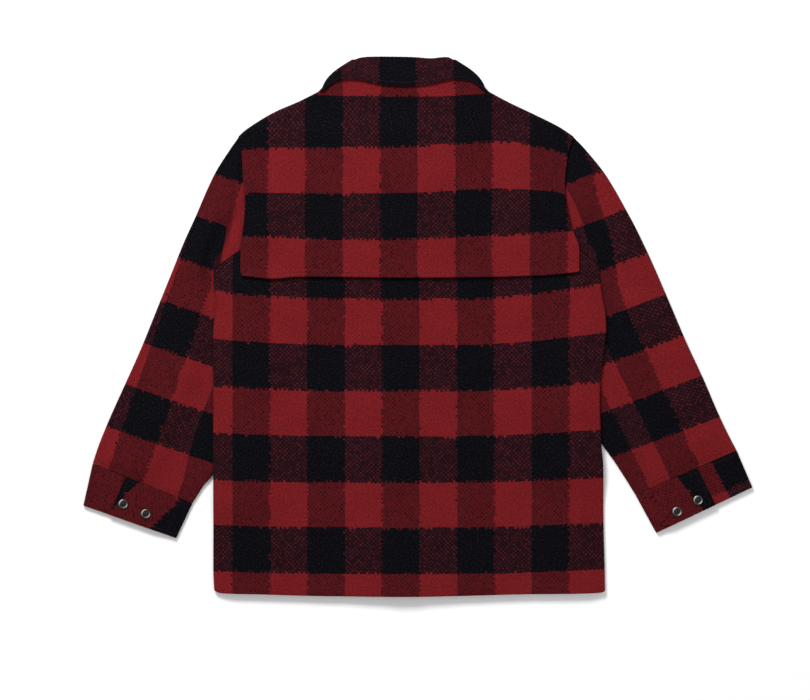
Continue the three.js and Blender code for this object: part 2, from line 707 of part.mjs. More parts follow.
function standFace(radius) {
  const loops = [...evenShares(0, 1, STAND_STEPS), 1].map((up) => ({
    half: mix(NECK_FOOT_HALF, COLLAR_FOLD.half, up),
    middle: LEAF_RADIUS,
    radius,
    open: STAND_OPEN,
    backY: (across) => {
      const foot = follow(TOP_LINE, 'x', FRONT_MIDDLE + across * (NECK_FOOT_HALF + FOLD_OUT), 'y');
      return mix(foot + NECK_SEAM.back, foldBackY(across) - STAND_SHORT, up);
    },
    frontY: (aside) => mix(frontNeck(aside) + NECK_SEAM.front, foldFrontY(aside) - STAND_SHORT, up),
  }));
  return neckStations().map((station) => loops.map((loop) => neckPoint(loop, station)));
}

function collarStand() {
  return clothMesh('collar_stand', clothWall(standFace(FOLD_OUT), standFace(FOLD_IN)));
}

// A ring snap cap: a raised rim round a shallow bowl
function snapCap(name) {
  const profile = [
    new THREE.Vector2(0, 0),
    new THREE.Vector2(SNAP.radius - SNAP.rim, 0),
    new THREE.Vector2(SNAP.radius, SNAP.rim),
    new THREE.Vector2(SNAP.radius - SNAP.rim, SNAP.height),
    new THREE.Vector2(SNAP.bowl + SNAP.rim, SNAP.height),
    new THREE.Vector2(SNAP.bowl, SNAP.floor),
    new THREE.Vector2(0, SNAP.floor),
  ];
  const geometry = new THREE.LatheGeometry(profile, SNAP.sides);
  geometry.rotateX(Math.PI / 2);
  const material = new THREE.MeshStandardMaterial({ color: SNAP_METAL, roughness: 0.3, metalness: 1 });
  const mesh = new THREE.Mesh(geometry, material);
  mesh.name = name;
  return mesh;
}

function cuffSnaps(side) {
  const top = CUFF_LEVELS.under + CUFF_LAP_RISE + CUFF_CLOTH / 2 + SEAM_GAP;
  return CUFFS[side].snaps.map((snap, k) => {
    const cap = snapCap(`cuff_snap_${side}_${k + 1}`);
    cap.position.set(snap.x, snap.y, top);
    return cap;
  });
}

// The caps of the front closure face the surface that the jacket lies on
function frontSnaps() {
  return Array.from({ length: FRONT_SNAPS.count }, (_, k) => {
    const cap = snapCap(`front_snap_${k + 1}`);
    cap.rotation.x = Math.PI;
    cap.position.set(FRONT_MIDDLE, FRONT_SNAPS.first - k * FRONT_SNAPS.spacing, SNAP.height);
    return cap;
  });
}

const jacket = new THREE.Group();
jacket.add(backPanel(), backCape(), frontPanel('left'), frontPanel('right'));
jacket.add(collarLeaf(), collarStand());
for (const side of ['left', 'right']) {
  jacket.add(sleeve(side), cuff(side), ...cuffSnaps(side));
}
jacket.add(...frontSnaps());
jacket.position.set(-MIDDLE.x, -MIDDLE.y, 0);

export default jacket;
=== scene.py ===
# Shirt jacket in heavy checked wool, laid flat with its back up.
# Forms are worked out in millimetres, as the cut is, and stand in metres in the scene.
import math
import bmesh
import bpy
from mathutils import Matrix, Vector, noise


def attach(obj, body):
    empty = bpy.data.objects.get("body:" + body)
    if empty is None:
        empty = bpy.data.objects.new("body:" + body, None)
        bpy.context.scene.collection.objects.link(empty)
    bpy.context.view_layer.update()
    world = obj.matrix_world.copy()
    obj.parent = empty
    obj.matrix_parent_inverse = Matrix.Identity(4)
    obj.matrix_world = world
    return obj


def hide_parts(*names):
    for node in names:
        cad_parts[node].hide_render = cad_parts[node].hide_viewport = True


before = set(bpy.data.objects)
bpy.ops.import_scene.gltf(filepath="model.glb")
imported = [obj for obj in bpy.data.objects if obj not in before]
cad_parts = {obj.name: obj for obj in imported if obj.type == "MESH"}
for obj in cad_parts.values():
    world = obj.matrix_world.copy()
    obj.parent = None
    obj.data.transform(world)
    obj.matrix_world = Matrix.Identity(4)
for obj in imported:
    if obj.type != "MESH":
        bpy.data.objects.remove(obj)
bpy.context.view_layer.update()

MM = 0.001
SHIFT = Vector((0.25, 1.55, 0))
PHOTO = {"width": 810, "height": 700, "mm_a_pixel": 1.535, "middle": (-0.0197, -0.0358)}
CAMERA_HEIGHT = 6.0
SENSOR = 36.0

# Cloth
CLOTH = 2.4
SEAM_GAP = 0.3
FOLD_IN = 0.6
FOLD_OUT = FOLD_IN + CLOTH
STEP_UP = CLOTH + SEAM_GAP
EDGE_LINES = 6
NEARLY = 0.01
MERGED_WITHIN = 0.00001
SOFT_EDGE = {"width": 0.0007, "segments": 2, "angle": 50}

# Body
SHOULDER_HEIGHT = 291
BODY_EDGES = [
    (-409, -312.5, 287), (-380, -314, 286.5), (-300, -314, 284.5), (-215, -314, 284),
    (-180, -314, 281), (-90, -314, 279.5), (-14, -314, 288.5), (20, -311, 287.5),
    (40, -309, 283.5), (62, -313.5, 280.5), (83, -312, 279.5), (92, -305, 276),
    (100, -295, 269.5), (108, -284, 259), (114.5, -274.5, 250), (127, -272, 245.3),
    (150, -268, 236), (176, -265.5, 230), (194, -265, 226.5), (211, -266, 225),
    (234, -268.5, 226), (271, -271, 231.5), (291, -276, 239.5),
]
TOP_LINE = [
    (-276, 289), (-264, 300), (-224, 325), (-181, 344), (-154.5, 357.2), (-149, 360.2),
    (-142, 361), (-128, 373), (-110, 378.5), (-80, 380), (36, 380), (66, 378.5), (84, 373),
    (98, 361), (105, 360.2), (110.5, 357.2), (137, 343), (175, 325), (216, 304.5), (239.5, 289),
]
HEM_LINE = [
    (-314, -406), (-306, -410), (-245, -412), (-150, -414.5), (0, -415.5),
    (153, -412), (279, -409.5), (287, -404),
]
CAPE_FOOT = [(-272, 77), (-224, 72), (-181, 75), (0, 73.5), (187, 77), (247, 83)]
FRONT_HEM_SHORTER = 3
ARMHOLE_FOOT_HEIGHT = 114
CAPE_ALLOWANCE = 3.1
ROLL_STARTS_OVER = 16
CAPE_SIDES = (-272, 247)
CAPE_CORNER = {"size": 5, "between": (68, 88)}
CAPE_SHOULDER = {"reach": 5, "between": (255, 285)}
CAPE_CLEARANCE = 1.45
CAPE_IN = FOLD_OUT + CAPE_CLEARANCE
FRONT_MIDDLE = -22
FRONT_LAP = 18
LAP_SLOPE = 34
LAP_STEP = STEP_UP + SEAM_GAP
LAP_STEP_STARTS = FRONT_LAP + FOLD_OUT / 3
BACK_LAP = (40, 60)
FRONT_NECK_LOW = 298
FRONT_SNAPS = {"first": 272, "spacing": 100, "count": 7, "lift": 2.3, "half": 13, "slope": 26}

# Collar
NECK_SIDE_HEIGHT = 361
NECK_FOOT_HALF = 116
FOLD_HALF, FOLD_SIDE, FOLD_FRONT_LOW = 75.5, 409.5, 330
FOLD_LINE = [
    (-1, FOLD_SIDE), (-0.85, 411.8), (-0.65, 412.5), (0, 412.2), (0.27, 411.4), (0.56, 409.9),
    (0.82, 412.2), (0.93, 412), (1, FOLD_SIDE),
]
EDGE_HALF, EDGE_SIDE, EDGE_FRONT_LOW, EDGE_RISE = 123, 358.5, 252, 2.4
LEAF_EDGE = [(0, 366), (0.3, 369), (0.6, 376.5), (0.82, 374.5), (0.95, 366), (1, EDGE_SIDE)]
LEAF_FALL = {"beyond": 1.6, "curve": 1.7}
COLLAR_BULGE = {"size": 8, "ends": 0.8696}
FOLD_THINS = {"least": 0.4, "curve": 6}
LEAF_OPEN = (0.06, 0.34)
STAND_OPEN = 0.02
FOLD_RIM = SEAM_GAP / 2
FOLD_RIM_OUT = FOLD_RIM + CLOTH
LEAF_RADIUS = FOLD_OUT + STEP_UP
RIM_RADIUS = FOLD_OUT + FOLD_RIM
LEAF_SPREADS_AT = 0.75
LEAF_MARGIN = 30
LEAF_SLOPE = 75
NECK_SEAM = (3.5, 2.2)
STAND_SHORT = 1.2

# Sleeves: ring, outer fold x and y, inner fold y, and how far it tucks under the body
SLEEVES = {
    "left": [
        (0, -275.5, 290, 116.5, 0.3), (1, -289.5, 270, 108, 0.3), (2, -310, 237.5, 97, 0.3),
        (3, -325.5, 205, 82, 0.3), (4, -341, 168, 62, 1), (5, -359.5, 127, 40, 3.5),
        (6, -378, 81, 8, 26), (7, -401, 24, -38, 48), (8, -424, -33, -96, 52),
        (9, -448.5, -88, -157, 38), (10, -472, -140, -219, 4), (11, -488.5, -180, -247, -16),
        (12, -499, -211, -272, -32),
    ],
    "right": [
        (0, 239, 290, 116.5, 0.3), (1, 258, 270, 108, 0.3), (2, 284, 238, 98, 0.3),
        (3, 301.5, 210, 86, 0.3), (4, 318, 180, 64, 1), (5, 337, 144, 41, 3.5),
        (6, 360, 95, 5, 24), (7, 384, 39.5, -40, 46), (8, 411.5, -25, -96, 44),
        (9, 437, -80, -145, 28), (10, 458, -129, -183, -2), (11, 474, -163, -219, -24),
        (12, 488.5, -191, -260, -49.5),
    ],
}
LAST_RING = 12
SLEEVE_SEAM = 0.86
SEAM_CREASE = 0.0006
FELLED = {"height": 0.9, "inward": 4, "half": 4.5, "starts": (8.4, 9.2), "ends": 11.6, "slope": 0.4}
SEAM_LINES = [(0, 0.86), (5, 0.86), (7, 0.79), (9, 0.69), (10, 0.75), (11, 0.83), (12, 0.86)]
SEAM_SHIFT = {"left": 7, "right": -16}
SLEEVE_CROWN = 0.8
SWELL_FULL, SWELL_SLOPE = 0.4, 0.25
BOW_ENDS_AT = 5
ARMHOLE_GAP = -1.2
TUCK_LIFT = 2 * FOLD_OUT + SEAM_GAP
TUCKED = {
    "left": {"start": 98, "full": 42, "end": -262, "gone": -322, "deep": -253, "clear": -180},
    "right": {"start": 98, "full": 42, "end": -216, "gone": -276, "deep": 227, "clear": 157},
}

# Cuffs
CUFF_CLOTH = 2.6
CUFF_LOWER = CUFF_CLOTH / 2
CUFF_GAP = 0.8
CUFF_UNDER = 1.5 * CUFF_CLOTH + CUFF_GAP
CUFF_LAP_RISE = CUFF_CLOTH + SEAM_GAP
LAP_LEVELS_OUT = 0.96
LAP_MARGIN = 0.02
CUFF_SEAM = 0.4
CUFF_STEPS = {"fold": 8, "under": 24, "lower": 36, "upper": 44}
CUFFS = {
    "left": {
        "foot": ((-513.5, -276), (-371, -326)),
        "lap": (0.335, 0.28, 0.7),
        "snaps": [(-452, -273.5), (-417.5, -288.5)],
    },
    "right": {
        "foot": ((513, -248), (365.5, -318)),
        "lap": (0.39, 0.385, 0.79),
        "snaps": [(429, -267.5), (397, -285)],
    },
}

# Snaps: half sections of the cap, where it is darker (in the bowl, and a painted shadow round its outer
# side), and the painted highlights on its rim
SNAP = {"radius": 7.4, "bowl": 4.6, "height": 2, "floor": 0.9, "rim_foot": 1.05, "rim_steps": 8}
SNAP_BACK = [(0, 0), (SNAP["radius"] - 0.5, 0), (SNAP["radius"], 0.45)]
SNAP_BOWL = [
    (SNAP["bowl"] - 0.1, SNAP["floor"] + 0.15), (SNAP["bowl"] - 0.5, SNAP["floor"]),
    (2.6, SNAP["floor"]), (2.3, SNAP["floor"] + 0.25), (1.2, SNAP["floor"] + 0.5),
    (0, SNAP["floor"] + 0.55),
]
SNAP_SPIN = 40
# Where the cap is darker: in the bowl, and a painted shadow on its outer side, each from and to a reach
# in millimetres
SNAP_DARK_AND_SHADOW = {
    "bowl": (SNAP["bowl"] - 0.1, SNAP["bowl"] + 0.7),
    "side": (SNAP["radius"] - 0.8, SNAP["radius"] - 0.2),
}
# Painted highlights: arcs of the rim made lighter at fixed angles, as where light catches it: angle,
# sharpness and strength of each
SNAP_HIGHLIGHT_ARCS = [(2.5, 3, 1.0), (-0.5, 6, 0.8)]

# Ridges of the laid cloth: from, to, width and height
BACK_RIDGES = [
    (242, -150, 245, -405, 11, 1), (-262, 55, -170, -10, 22, 1.6), (235, 60, 150, 5, 20, 1.5),
    (-150, -250, -135, -440, 34, 1.3), (70, -230, 88, -440, 38, 1.2),
    (-230, 250, -150, 120, 30, 1.1), (195, 255, 120, 130, 28, 1),
]
SLEEVE_RIDGES = [
    (4.5, 0.35, 1.6, 0.2, 1.3), (7.4, 0.6, 1.1, 0.24, 1.5),
    (9.2, 0.3, 1.2, 0.2, 1.2), (11, 0.6, 0.9, 0.22, 1.1),
]


def clamp(value, low=0.0, high=1.0):
    return max(low, min(high, value))


def mix(a, b, f):
    return a + (b - a) * f


def smooth(low, high, value):
    f = clamp((value - low) / (high - low))
    return f * f * (3 - 2 * f)


def fade(distance, slope):
    """1 inside the edge, falling softly to 0 over the slope."""
    return 1 - smooth(0, slope, distance)


def follow(rows, value, column=1):
    """Smooth curve through one column of a table whose first column is the key."""
    last = len(rows) - 1
    at = clamp(value, rows[0][0], rows[last][0])
    i = 0
    while i < last - 1 and at > rows[i + 1][0]:
        i += 1

    def slope(k):
        before, after = rows[max(k - 1, 0)], rows[min(k + 1, last)]
        return (after[column] - before[column]) / (after[0] - before[0])

    span = rows[i + 1][0] - rows[i][0]
    f = (at - rows[i][0]) / span
    rest = 1 - f
    return (
        (1 + 2 * f) * rest * rest * rows[i][column] + f * rest * rest * span * slope(i)
        + f * f * (3 - 2 * f) * rows[i + 1][column] - f * f * rest * span * slope(i + 1)
    )


def ridge_height(ridge, x, y):
    """Height of one soft ridge along a line, gone where it runs out."""
    x1, y1, x2, y2, width, height = ridge
    along_x, along_y = x2 - x1, y2 - y1
    length = math.hypot(along_x, along_y)
    along = ((x - x1) * along_x + (y - y1) * along_y) / (length * length)
    if not 0 < along < 1:
        return 0.0
    across = ((x - x1) * along_y - (y - y1) * along_x) / length
    return height * math.sin(math.pi * along) * math.exp(-((across / width) ** 2))


def front_leaf_edge(aside):
    return mix(EDGE_FRONT_LOW, EDGE_SIDE, min(abs(aside), LEAF_FALL["beyond"]) ** LEAF_FALL["curve"])


def lift_at(x, y):
    """Height of the underside of the fronts over the surface."""
    collar = STEP_UP * fade(front_leaf_edge((x - FRONT_MIDDLE) / EDGE_HALF) - LEAF_MARGIN - y, LEAF_SLOPE)
    snap_reach = abs(x - FRONT_MIDDLE) - FRONT_SNAPS["half"]
    snaps = FRONT_SNAPS["lift"] * fade(snap_reach, FRONT_SNAPS["slope"])
    tuck = TUCKED["left" if x < FRONT_MIDDLE else "right"]
    below = fade(y - tuck["full"], tuck["start"] - tuck["full"])
    above = fade(tuck["end"] - y, tuck["end"] - tuck["gone"])
    inward = x - tuck["deep"] if x < FRONT_MIDDLE else tuck["deep"] - x
    sleeve = TUCK_LIFT * below * above * fade(inward, abs(tuck["clear"] - tuck["deep"]))
    return max(collar, snaps, sleeve)


def back_lift(x, y):
    reach = abs(x - FRONT_MIDDLE) - BACK_LAP[0]
    lap = STEP_UP * fade(reach, BACK_LAP[1]) * fade(y - FRONT_NECK_LOW, LAP_SLOPE)
    return lap + sum(ridge_height(ridge, x, y) for ridge in BACK_RIDGES)


def right_lap_lift(x, y):
    return LAP_STEP * fade(x - FRONT_MIDDLE - LAP_STEP_STARTS, LAP_SLOPE)


def no_lift(x, y):
    return 0.0


def body_edge(side, y):
    return follow(BODY_EDGES, y, 1 if side == "left" else 2)


def shoulder_roll(x):
    return 1 - fade(abs(x - FRONT_MIDDLE) - NECK_FOOT_HALF - FOLD_OUT, ROLL_STARTS_OVER)


def back_top(x):
    return follow(TOP_LINE, x) - CAPE_ALLOWANCE * shoulder_roll(x)


def front_neck(aside):
    return mix(FRONT_NECK_LOW, NECK_SIDE_HEIGHT, aside * aside)


def front_top(x):
    aside = (x - FRONT_MIDDLE) / (NECK_FOOT_HALF + FOLD_OUT)
    return front_neck(aside) if abs(aside) < 1 else back_top(x)


def side_roll(y):
    return 1 if y < ARMHOLE_FOOT_HEIGHT else 0


def no_roll(y):
    return 0


def lines_across(flat_lines):
    """Lines over a panel: a fan at each rolled edge and even ones on the flat."""
    fan = [(k * math.pi / 2 / EDGE_LINES, k * FOLD_OUT / EDGE_LINES) for k in range(EDGE_LINES)]
    start = [("start", turn, step) for turn, step in fan]
    flat = [("flat", k / flat_lines, 0) for k in range(flat_lines + 1)]
    end = [("end", turn, step) for turn, step in reversed(fan)]
    return start + flat + end


def inset(line, rolled, radius):
    return mix(line[2], FOLD_OUT - radius * math.cos(line[1]), rolled)


def turn_of(line, rolled):
    return mix(1, math.sin(line[1]), rolled)


def unrolled(line, rolled):
    """How far a line at a rolled edge lies outside the flat, as cut."""
    return mix(FOLD_OUT - line[2], (math.pi / 2 - line[1]) * FOLD_OUT, rolled)


def column_x(panel, column, y, radius):
    left, right = panel["left"](y), panel["right"](y)
    if column[0] == "start":
        return left + inset(column, panel["left_roll"](y), radius)
    if column[0] == "end":
        return right - inset(column, panel["right_roll"](y), radius)
    return mix(left + FOLD_OUT, right - FOLD_OUT, column[1])


def panel_face(panel, radius):
    """Points of one face of a panel, column by column, with the place of each on the cut cloth."""
    columns = lines_across(panel["columns"])
    rows = [line for line in lines_across(panel["rows"]) if line[0] != "start"]
    face = []
    for column in columns:
        top_x = column_x(panel, column, SHOULDER_HEIGHT, radius)
        foot = panel["foot"](column_x(panel, column, -SHOULDER_HEIGHT, radius))
        top = panel["top"](top_x)
        top_roll = shoulder_roll(top_x)
        strip = []
        for row in rows:
            y = top - inset(row, top_roll, radius)
            if row[0] == "flat":
                y = mix(foot, top - FOLD_OUT, row[1])
            x = column_x(panel, column, y, radius)
            rolled = panel["left_roll"](y) if x < FRONT_MIDDLE else panel["right_roll"](y)
            turn = 1 if column[0] == "flat" else turn_of(column, rolled)
            turn *= 1 if row[0] == "flat" else turn_of(row, top_roll)
            height = max(radius * turn, SEAM_GAP / 2)
            z = FOLD_OUT + lift_at(x, y) + panel["lift"](x, y) * turn + panel["up"] * height
            z += panel["crease"](x, y) * turn
            flat_x, flat_y = x, y
            if column[0] == "start":
                flat_x = panel["left"](y) + FOLD_OUT - unrolled(column, rolled)
            if column[0] == "end":
                flat_x = panel["right"](y) - FOLD_OUT + unrolled(column, rolled)
            if row[0] == "end":
                flat_y = top - FOLD_OUT + unrolled(row, top_roll)
            strip.append((Vector((x, y, z)), panel["cloth"](flat_x, flat_y)))
        face.append(strip)
    return face


def half_turns(count):
    """Turns of a fold, from the upper layer round to the lower one."""
    return [math.pi * (0.5 - (k + 1) / count) for k in range(count - 1)]


def shares(start, stop, count):
    return [mix(start, stop, k / count) for k in range(count)]


def sleeve_section(side, ring):
    rows = SLEEVES[side]
    outward = -1 if side == "left" else 1
    before = min(int(ring), LAST_RING - 1)
    tuck = mix(rows[before][4], rows[before + 1][4], ring - before)
    outer = Vector((follow(rows, ring, 1), follow(rows, ring, 2)))
    inner_y = follow(rows, ring, 3)
    inner = Vector((body_edge(side, inner_y) - outward * tuck, inner_y))
    return outer, inner, (inner - outer).normalized(), (inner - outer).length


def armhole_bow(side, share):
    outward = -1 if side == "left" else 1
    outer, inner, _, _ = sleeve_section(side, 0)
    y = mix(outer.y, inner.y, share)
    return body_edge(side, y) + outward * ARMHOLE_GAP - mix(outer.x, inner.x, share)


def sleeve_swell(ring, share):
    crown = SLEEVE_CROWN * math.sin(math.pi * share)
    ridges = sum(
        height * math.exp(-(((ring - at) / length) ** 2) - ((share - across) / width) ** 2)
        for at, across, length, width, height in SLEEVE_RIDGES
    )
    return fade(share - SWELL_FULL, SWELL_SLOPE) * (crown + ridges)


def felled_ridge(ring, reach):
    """Flat ridge of the felled seam, in the lower part of the sleeve."""
    across = (reach + FELLED["inward"]) / FELLED["half"]
    ends = smooth(*FELLED["starts"], ring) * fade(ring - FELLED["ends"], FELLED["slope"])
    return FELLED["height"] * math.exp(-(across ** 4)) * ends


def sleeve_face(side, radius, rings=104, around=64, fold=8):
    """Sections of a sleeve from the armhole to the cuff, each all round."""
    turns = half_turns(fold)
    crease = [SLEEVE_SEAM - SEAM_CREASE, SLEEVE_SEAM + SEAM_CREASE]
    upper = shares(0, crease[0], around) + crease[:1] + shares(crease[1], 1, around // 6)
    stations = [(share, "upper") for share in upper] + [(1, "upper")]
    stations += [(1, turn) for turn in turns]
    stations += [(1, "lower")] + [(share, "lower") for share in shares(1, 0, around)[1:]] + [(0, "lower")]
    stations += [(0, turn) for turn in reversed(turns)]
    bows = [armhole_bow(side, share) for share, _ in stations]
    places = [LAST_RING * k / rings for k in range(rings + 1)]
    sections = [(ring, *sleeve_section(side, ring)) for ring in places]
    face = []
    for (share, where), bow in zip(stations, bows):
        is_fold = not isinstance(where, str)
        reach = radius * math.cos(where) if is_fold else 0
        rise = radius * (math.sin(where) if is_fold else 1 if where == "upper" else -1)
        strip = []
        for ring, outer, _, across, width in sections:
            seam = follow(SEAM_LINES, ring)
            placed = share
            if where == "upper":
                placed = share * seam / SLEEVE_SEAM
                if share > SLEEVE_SEAM:
                    placed = 1 - (1 - share) * (1 - seam) / (1 - SLEEVE_SEAM)
            along = mix(FOLD_OUT, width - FOLD_OUT, placed) + (reach if share else -reach)
            bent = bow * fade(ring, BOW_ENDS_AT)
            x, y = outer.x + across.x * along + bent, outer.y + across.y * along
            swell = 0
            if where == "upper":
                swell = sleeve_swell(ring, placed) + sleeve_crease(side, ring, placed, x, y)
                swell += felled_ridge(ring, (placed - seam) * width)
            flat = Vector((x, y))
            if is_fold:
                edge = outer + across * (FOLD_OUT if share == 0 else width - FOLD_OUT)
                away = (math.pi / 2 - where) * FOLD_OUT
                flat = edge + Vector((bent, 0)) + across * (away if share else -away)
            below = where == "lower" or (is_fold and where < 0)
            cloth = sleeve_cloth(side, flat, ring, share, below)
            strip.append((Vector((x, y, FOLD_OUT + rise + swell)), cloth))
        face.append(strip)
    return face


def cuff_section(side, down):
    seam_outer, seam_inner, _, _ = sleeve_section(side, LAST_RING)
    foot_outer, foot_inner = (Vector(p) for p in CUFFS[side]["foot"])
    apart = (foot_outer - seam_outer).normalized() * CUFF_SEAM
    outer = (seam_outer + apart).lerp(foot_outer, down)
    inner = (seam_inner + apart).lerp(foot_inner, down)
    return outer, (inner - outer).normalized(), (inner - outer).length


def cuff_path(side, down, width):
    """Middle line of the cuff's cloth, from the end of the underlap round to the lap's end."""
    lap_top, lap_foot, lap_under = CUFFS[side]["lap"]
    lap_end = mix(lap_top, lap_foot, down)
    radius = (CUFF_UNDER - CUFF_LOWER) / 2
    centre = CUFF_LOWER + radius
    edge = radius + CUFF_CLOTH / 2
    near = edge / width
    turns = half_turns(CUFF_STEPS["fold"])
    start = lap_under + LAP_MARGIN
    path = [(share * width, CUFF_UNDER) for share in shares(lap_under, near, CUFF_STEPS["under"])]
    path += [(edge, CUFF_UNDER)]
    path += [(edge - radius * math.cos(turn), centre + radius * math.sin(turn)) for turn in turns]
    path += [(share * width, CUFF_LOWER) for share in shares(near, 1 - near, CUFF_STEPS["lower"])]
    path += [(width - edge, CUFF_LOWER)]
    path += [
        (width - edge + radius * math.cos(turn), centre + radius * math.sin(turn))
        for turn in reversed(turns)
    ]
    path += [(width - edge, CUFF_UNDER)]
    for share in shares(LAP_LEVELS_OUT, lap_end, CUFF_STEPS["upper"]) + [lap_end]:
        rise = CUFF_LAP_RISE * fade(share - start, LAP_LEVELS_OUT - start)
        path.append((share * width, CUFF_UNDER + rise))
    return [Vector(p) for p in path]


def cuff_face(side, offset, steps=16):
    strips = []
    for k in range(steps + 1):
        down = k / steps
        outer, across, width = cuff_section(side, down)
        path = cuff_path(side, down, width)
        strip, gone = [], 0
        for i, point in enumerate(path):
            before, after = path[max(i - 1, 0)], path[min(i + 1, len(path) - 1)]
            along = (after - before).normalized()
            reach = point.x + along.y * offset
            gone += (point - path[i - 1]).length if i else 0
            flat = outer + across * reach
            place = Vector((flat.x, flat.y, point.y - along.x * offset))
            strip.append((place, cuff_cloth(side, gone, down)))
        strips.append(strip)
    return [[strip[i] for strip in strips] for i in range(len(strips[0]))]


def neck_stations(front=26, back=64, fold=8):
    """Stations round the flattened neck, from one front edge over the back to the other."""
    turns = half_turns(fold)
    left = [(-1, share, -math.pi / 2) for share in shares(0, 1, front)]
    left += [(-1, 1, turn) for turn in [-math.pi / 2, *reversed(turns)]]
    middle = [(0, mix(-1, 1, share), None) for share in shares(0, 1, back) + [1]]
    return left + middle + [(1, share, turn) for _, share, turn in reversed(left)]


def neck_point(loop, station):
    side, share, turn = station
    if side == 0:
        x = FRONT_MIDDLE + share * loop["half"]
        return Vector((x, loop["back"](share), loop["middle"] + loop["radius"]))
    aside = mix(loop["open"], 1, share)
    reach = loop["radius"] * math.cos(turn)
    x = FRONT_MIDDLE + side * (aside * loop["half"] + reach)
    return Vector((x, loop["front"](aside), loop["middle"] + loop["radius"] * math.sin(turn)))


def fold_back_y(across):
    return follow(FOLD_LINE, across) - FOLD_RIM_OUT


def fold_front_y(aside):
    return mix(FOLD_FRONT_LOW, FOLD_SIDE - FOLD_RIM_OUT, aside * aside)


def fold_end(across):
    """The fold thins out towards its two ends."""
    return max(FOLD_THINS["least"], math.sqrt(max(0, 1 - across ** FOLD_THINS["curve"])))


def leaf_loops(is_outer, falls=22, overs=8):
    """Loops of the leaf from its lower edge up to the fold, and over it down to the stand."""
    fold = LEAF_RADIUS if is_outer else LEAF_RADIUS - CLOTH
    rim = FOLD_RIM_OUT if is_outer else FOLD_RIM
    loops = []
    for down in reversed([k / falls for k in range(falls + 1)]):
        spread = min(1, down / LEAF_SPREADS_AT) * EDGE_RISE
        bulge = COLLAR_BULGE["size"] * math.sin(math.pi * min(down / COLLAR_BULGE["ends"], 1))
        loops.append({
            "half": mix(FOLD_HALF, EDGE_HALF, down) + bulge,
            "middle": LEAF_RADIUS + spread,
            "radius": fold + spread,
            "open": mix(*LEAF_OPEN, down),
            "back": lambda across, d=down: mix(fold_back_y(across), follow(LEAF_EDGE, abs(across)), d),
            "front": lambda aside, d=down: mix(fold_front_y(aside), front_leaf_edge(aside), d),
            "fall": down,
        })
    for turn in [*half_turns(overs), -math.pi / 2]:
        out = rim * math.cos(turn)
        loops.append({
            "half": FOLD_HALF,
            "middle": LEAF_RADIUS,
            "radius": RIM_RADIUS + rim * math.sin(turn),
            "open": LEAF_OPEN[0],
            "back": lambda across, o=out: fold_back_y(across) + o * fold_end(across),
            "front": lambda aside, o=out: fold_front_y(aside) + o * fold_end(aside),
            "fall": -(math.pi / 2 - turn) * FOLD_RIM_OUT / COLLAR_CUT["fall"],
        })
    return loops


def stand_loops(radius, steps=12):
    loops = []
    for k in range(steps + 1):
        up = k / steps

        def back(across, up=up):
            foot = follow(TOP_LINE, FRONT_MIDDLE + across * (NECK_FOOT_HALF + FOLD_OUT))
            return mix(foot + NECK_SEAM[0], fold_back_y(across) - STAND_SHORT, up)

        def front(aside, up=up):
            return mix(front_neck(aside) + NECK_SEAM[1], fold_front_y(aside) - STAND_SHORT, up)

        loops.append({
            "half": mix(NECK_FOOT_HALF, FOLD_HALF, up), "middle": LEAF_RADIUS, "radius": radius,
            "open": STAND_OPEN, "back": back, "front": front, "fall": 1 - up,
        })
    return loops


def neck_face(loops):
    stations = neck_stations()
    face = []
    for i, station in enumerate(stations):
        strip = []
        for loop in loops:
            point = neck_point(loop, station)
            strip.append((point, collar_cloth(point, station, loop["fall"])))
        face.append(strip)
    return face


# The check: a black stripe of warp and of weft starts at nought, and red follows black
WARP_STRIPE = 57.3
WEFT_STRIPE = 70.1
BODY_PHASE = (284, -29.6)
CAPE_PHASE = (287, 202.2)
COLLAR_PHASE = 59
COLLAR_CUT = {"edge": 12, "fall": 46}
BODY_BEND = [
    (-315, 12), (-301, 10.7), (-255, 6.1), (-166, 1), (-28, 0), (87, 0.5), (141, 4),
    (203, 11), (264, 20), (288, 23),
]
BODY_BEND_FADE = [(-410, 0.3), (-240, 0.33), (-170, 0.45), (-100, 0.58), (-30, 0.75), (40, 1), (80, 1.02)]
CAPE_BEND_TOP = [
    (-272, -2), (-255, -1.5), (-100, 0), (20, 3), (87, 8), (141, 8.5), (180, 2), (203, -3), (240, -14),
]
CAPE_BEND_FOOT = [(-272, 5), (-255, 4.5), (-100, 0), (20, 1), (87, 6), (141, 6), (203, 12), (240, 16)]
CAPE_BEND_BETWEEN = (131, 272)
CAPE_SAG = {"middle": (245, 200), "reach": (22, 40), "depth": 10}
YOKE_EASE = [(-272, 8), (-170, 11.5), (-60, 8.5), (60, 5), (120, 3.5), (240, 0)]
YOKE_BETWEEN = (280, 350)
SLEEVE_GRAIN = {
    "left": {
        "square": (-325.4, 126.3), "down": (-0.325, -0.946), "across": (0.946, -0.325), "stretch": 1.0,
    },
    "right": {
        "square": (312.8, -11.2), "down": (0.429, -0.903), "across": (0.903, 0.429), "stretch": 1.026,
    },
}
LEFT_WIDENS = {"by": 0.5, "between": (-20, 120)}
LEFT_HEAD = {"across": (50, 62), "rings": (2.5, 4.5), "shift": 62, "starts": (-30, 0), "ends": (62, 95)}
RIGHT_SLANT = {"slope": 0.085, "level": 90, "from": -140, "over": 90}
RIGHT_BEYOND = 0.8
RIGHT_BLACK = [
    (-270, 45, 100), (-222, 46, 94), (-167, 48, 82), (-105, 38, 74), (-35, 14, 55), (35, 0, 50),
    (180, 0, 48), (400, 0, 48),
]
CUFF_PHASE = {"left": 227.4, "right": 371}
CUFF_STRIPE = {"edge": 0.5, "depth": 56}
CUFF_CORNER = {"edge": 4, "depth": 67, "ends": 135, "slope": 20}
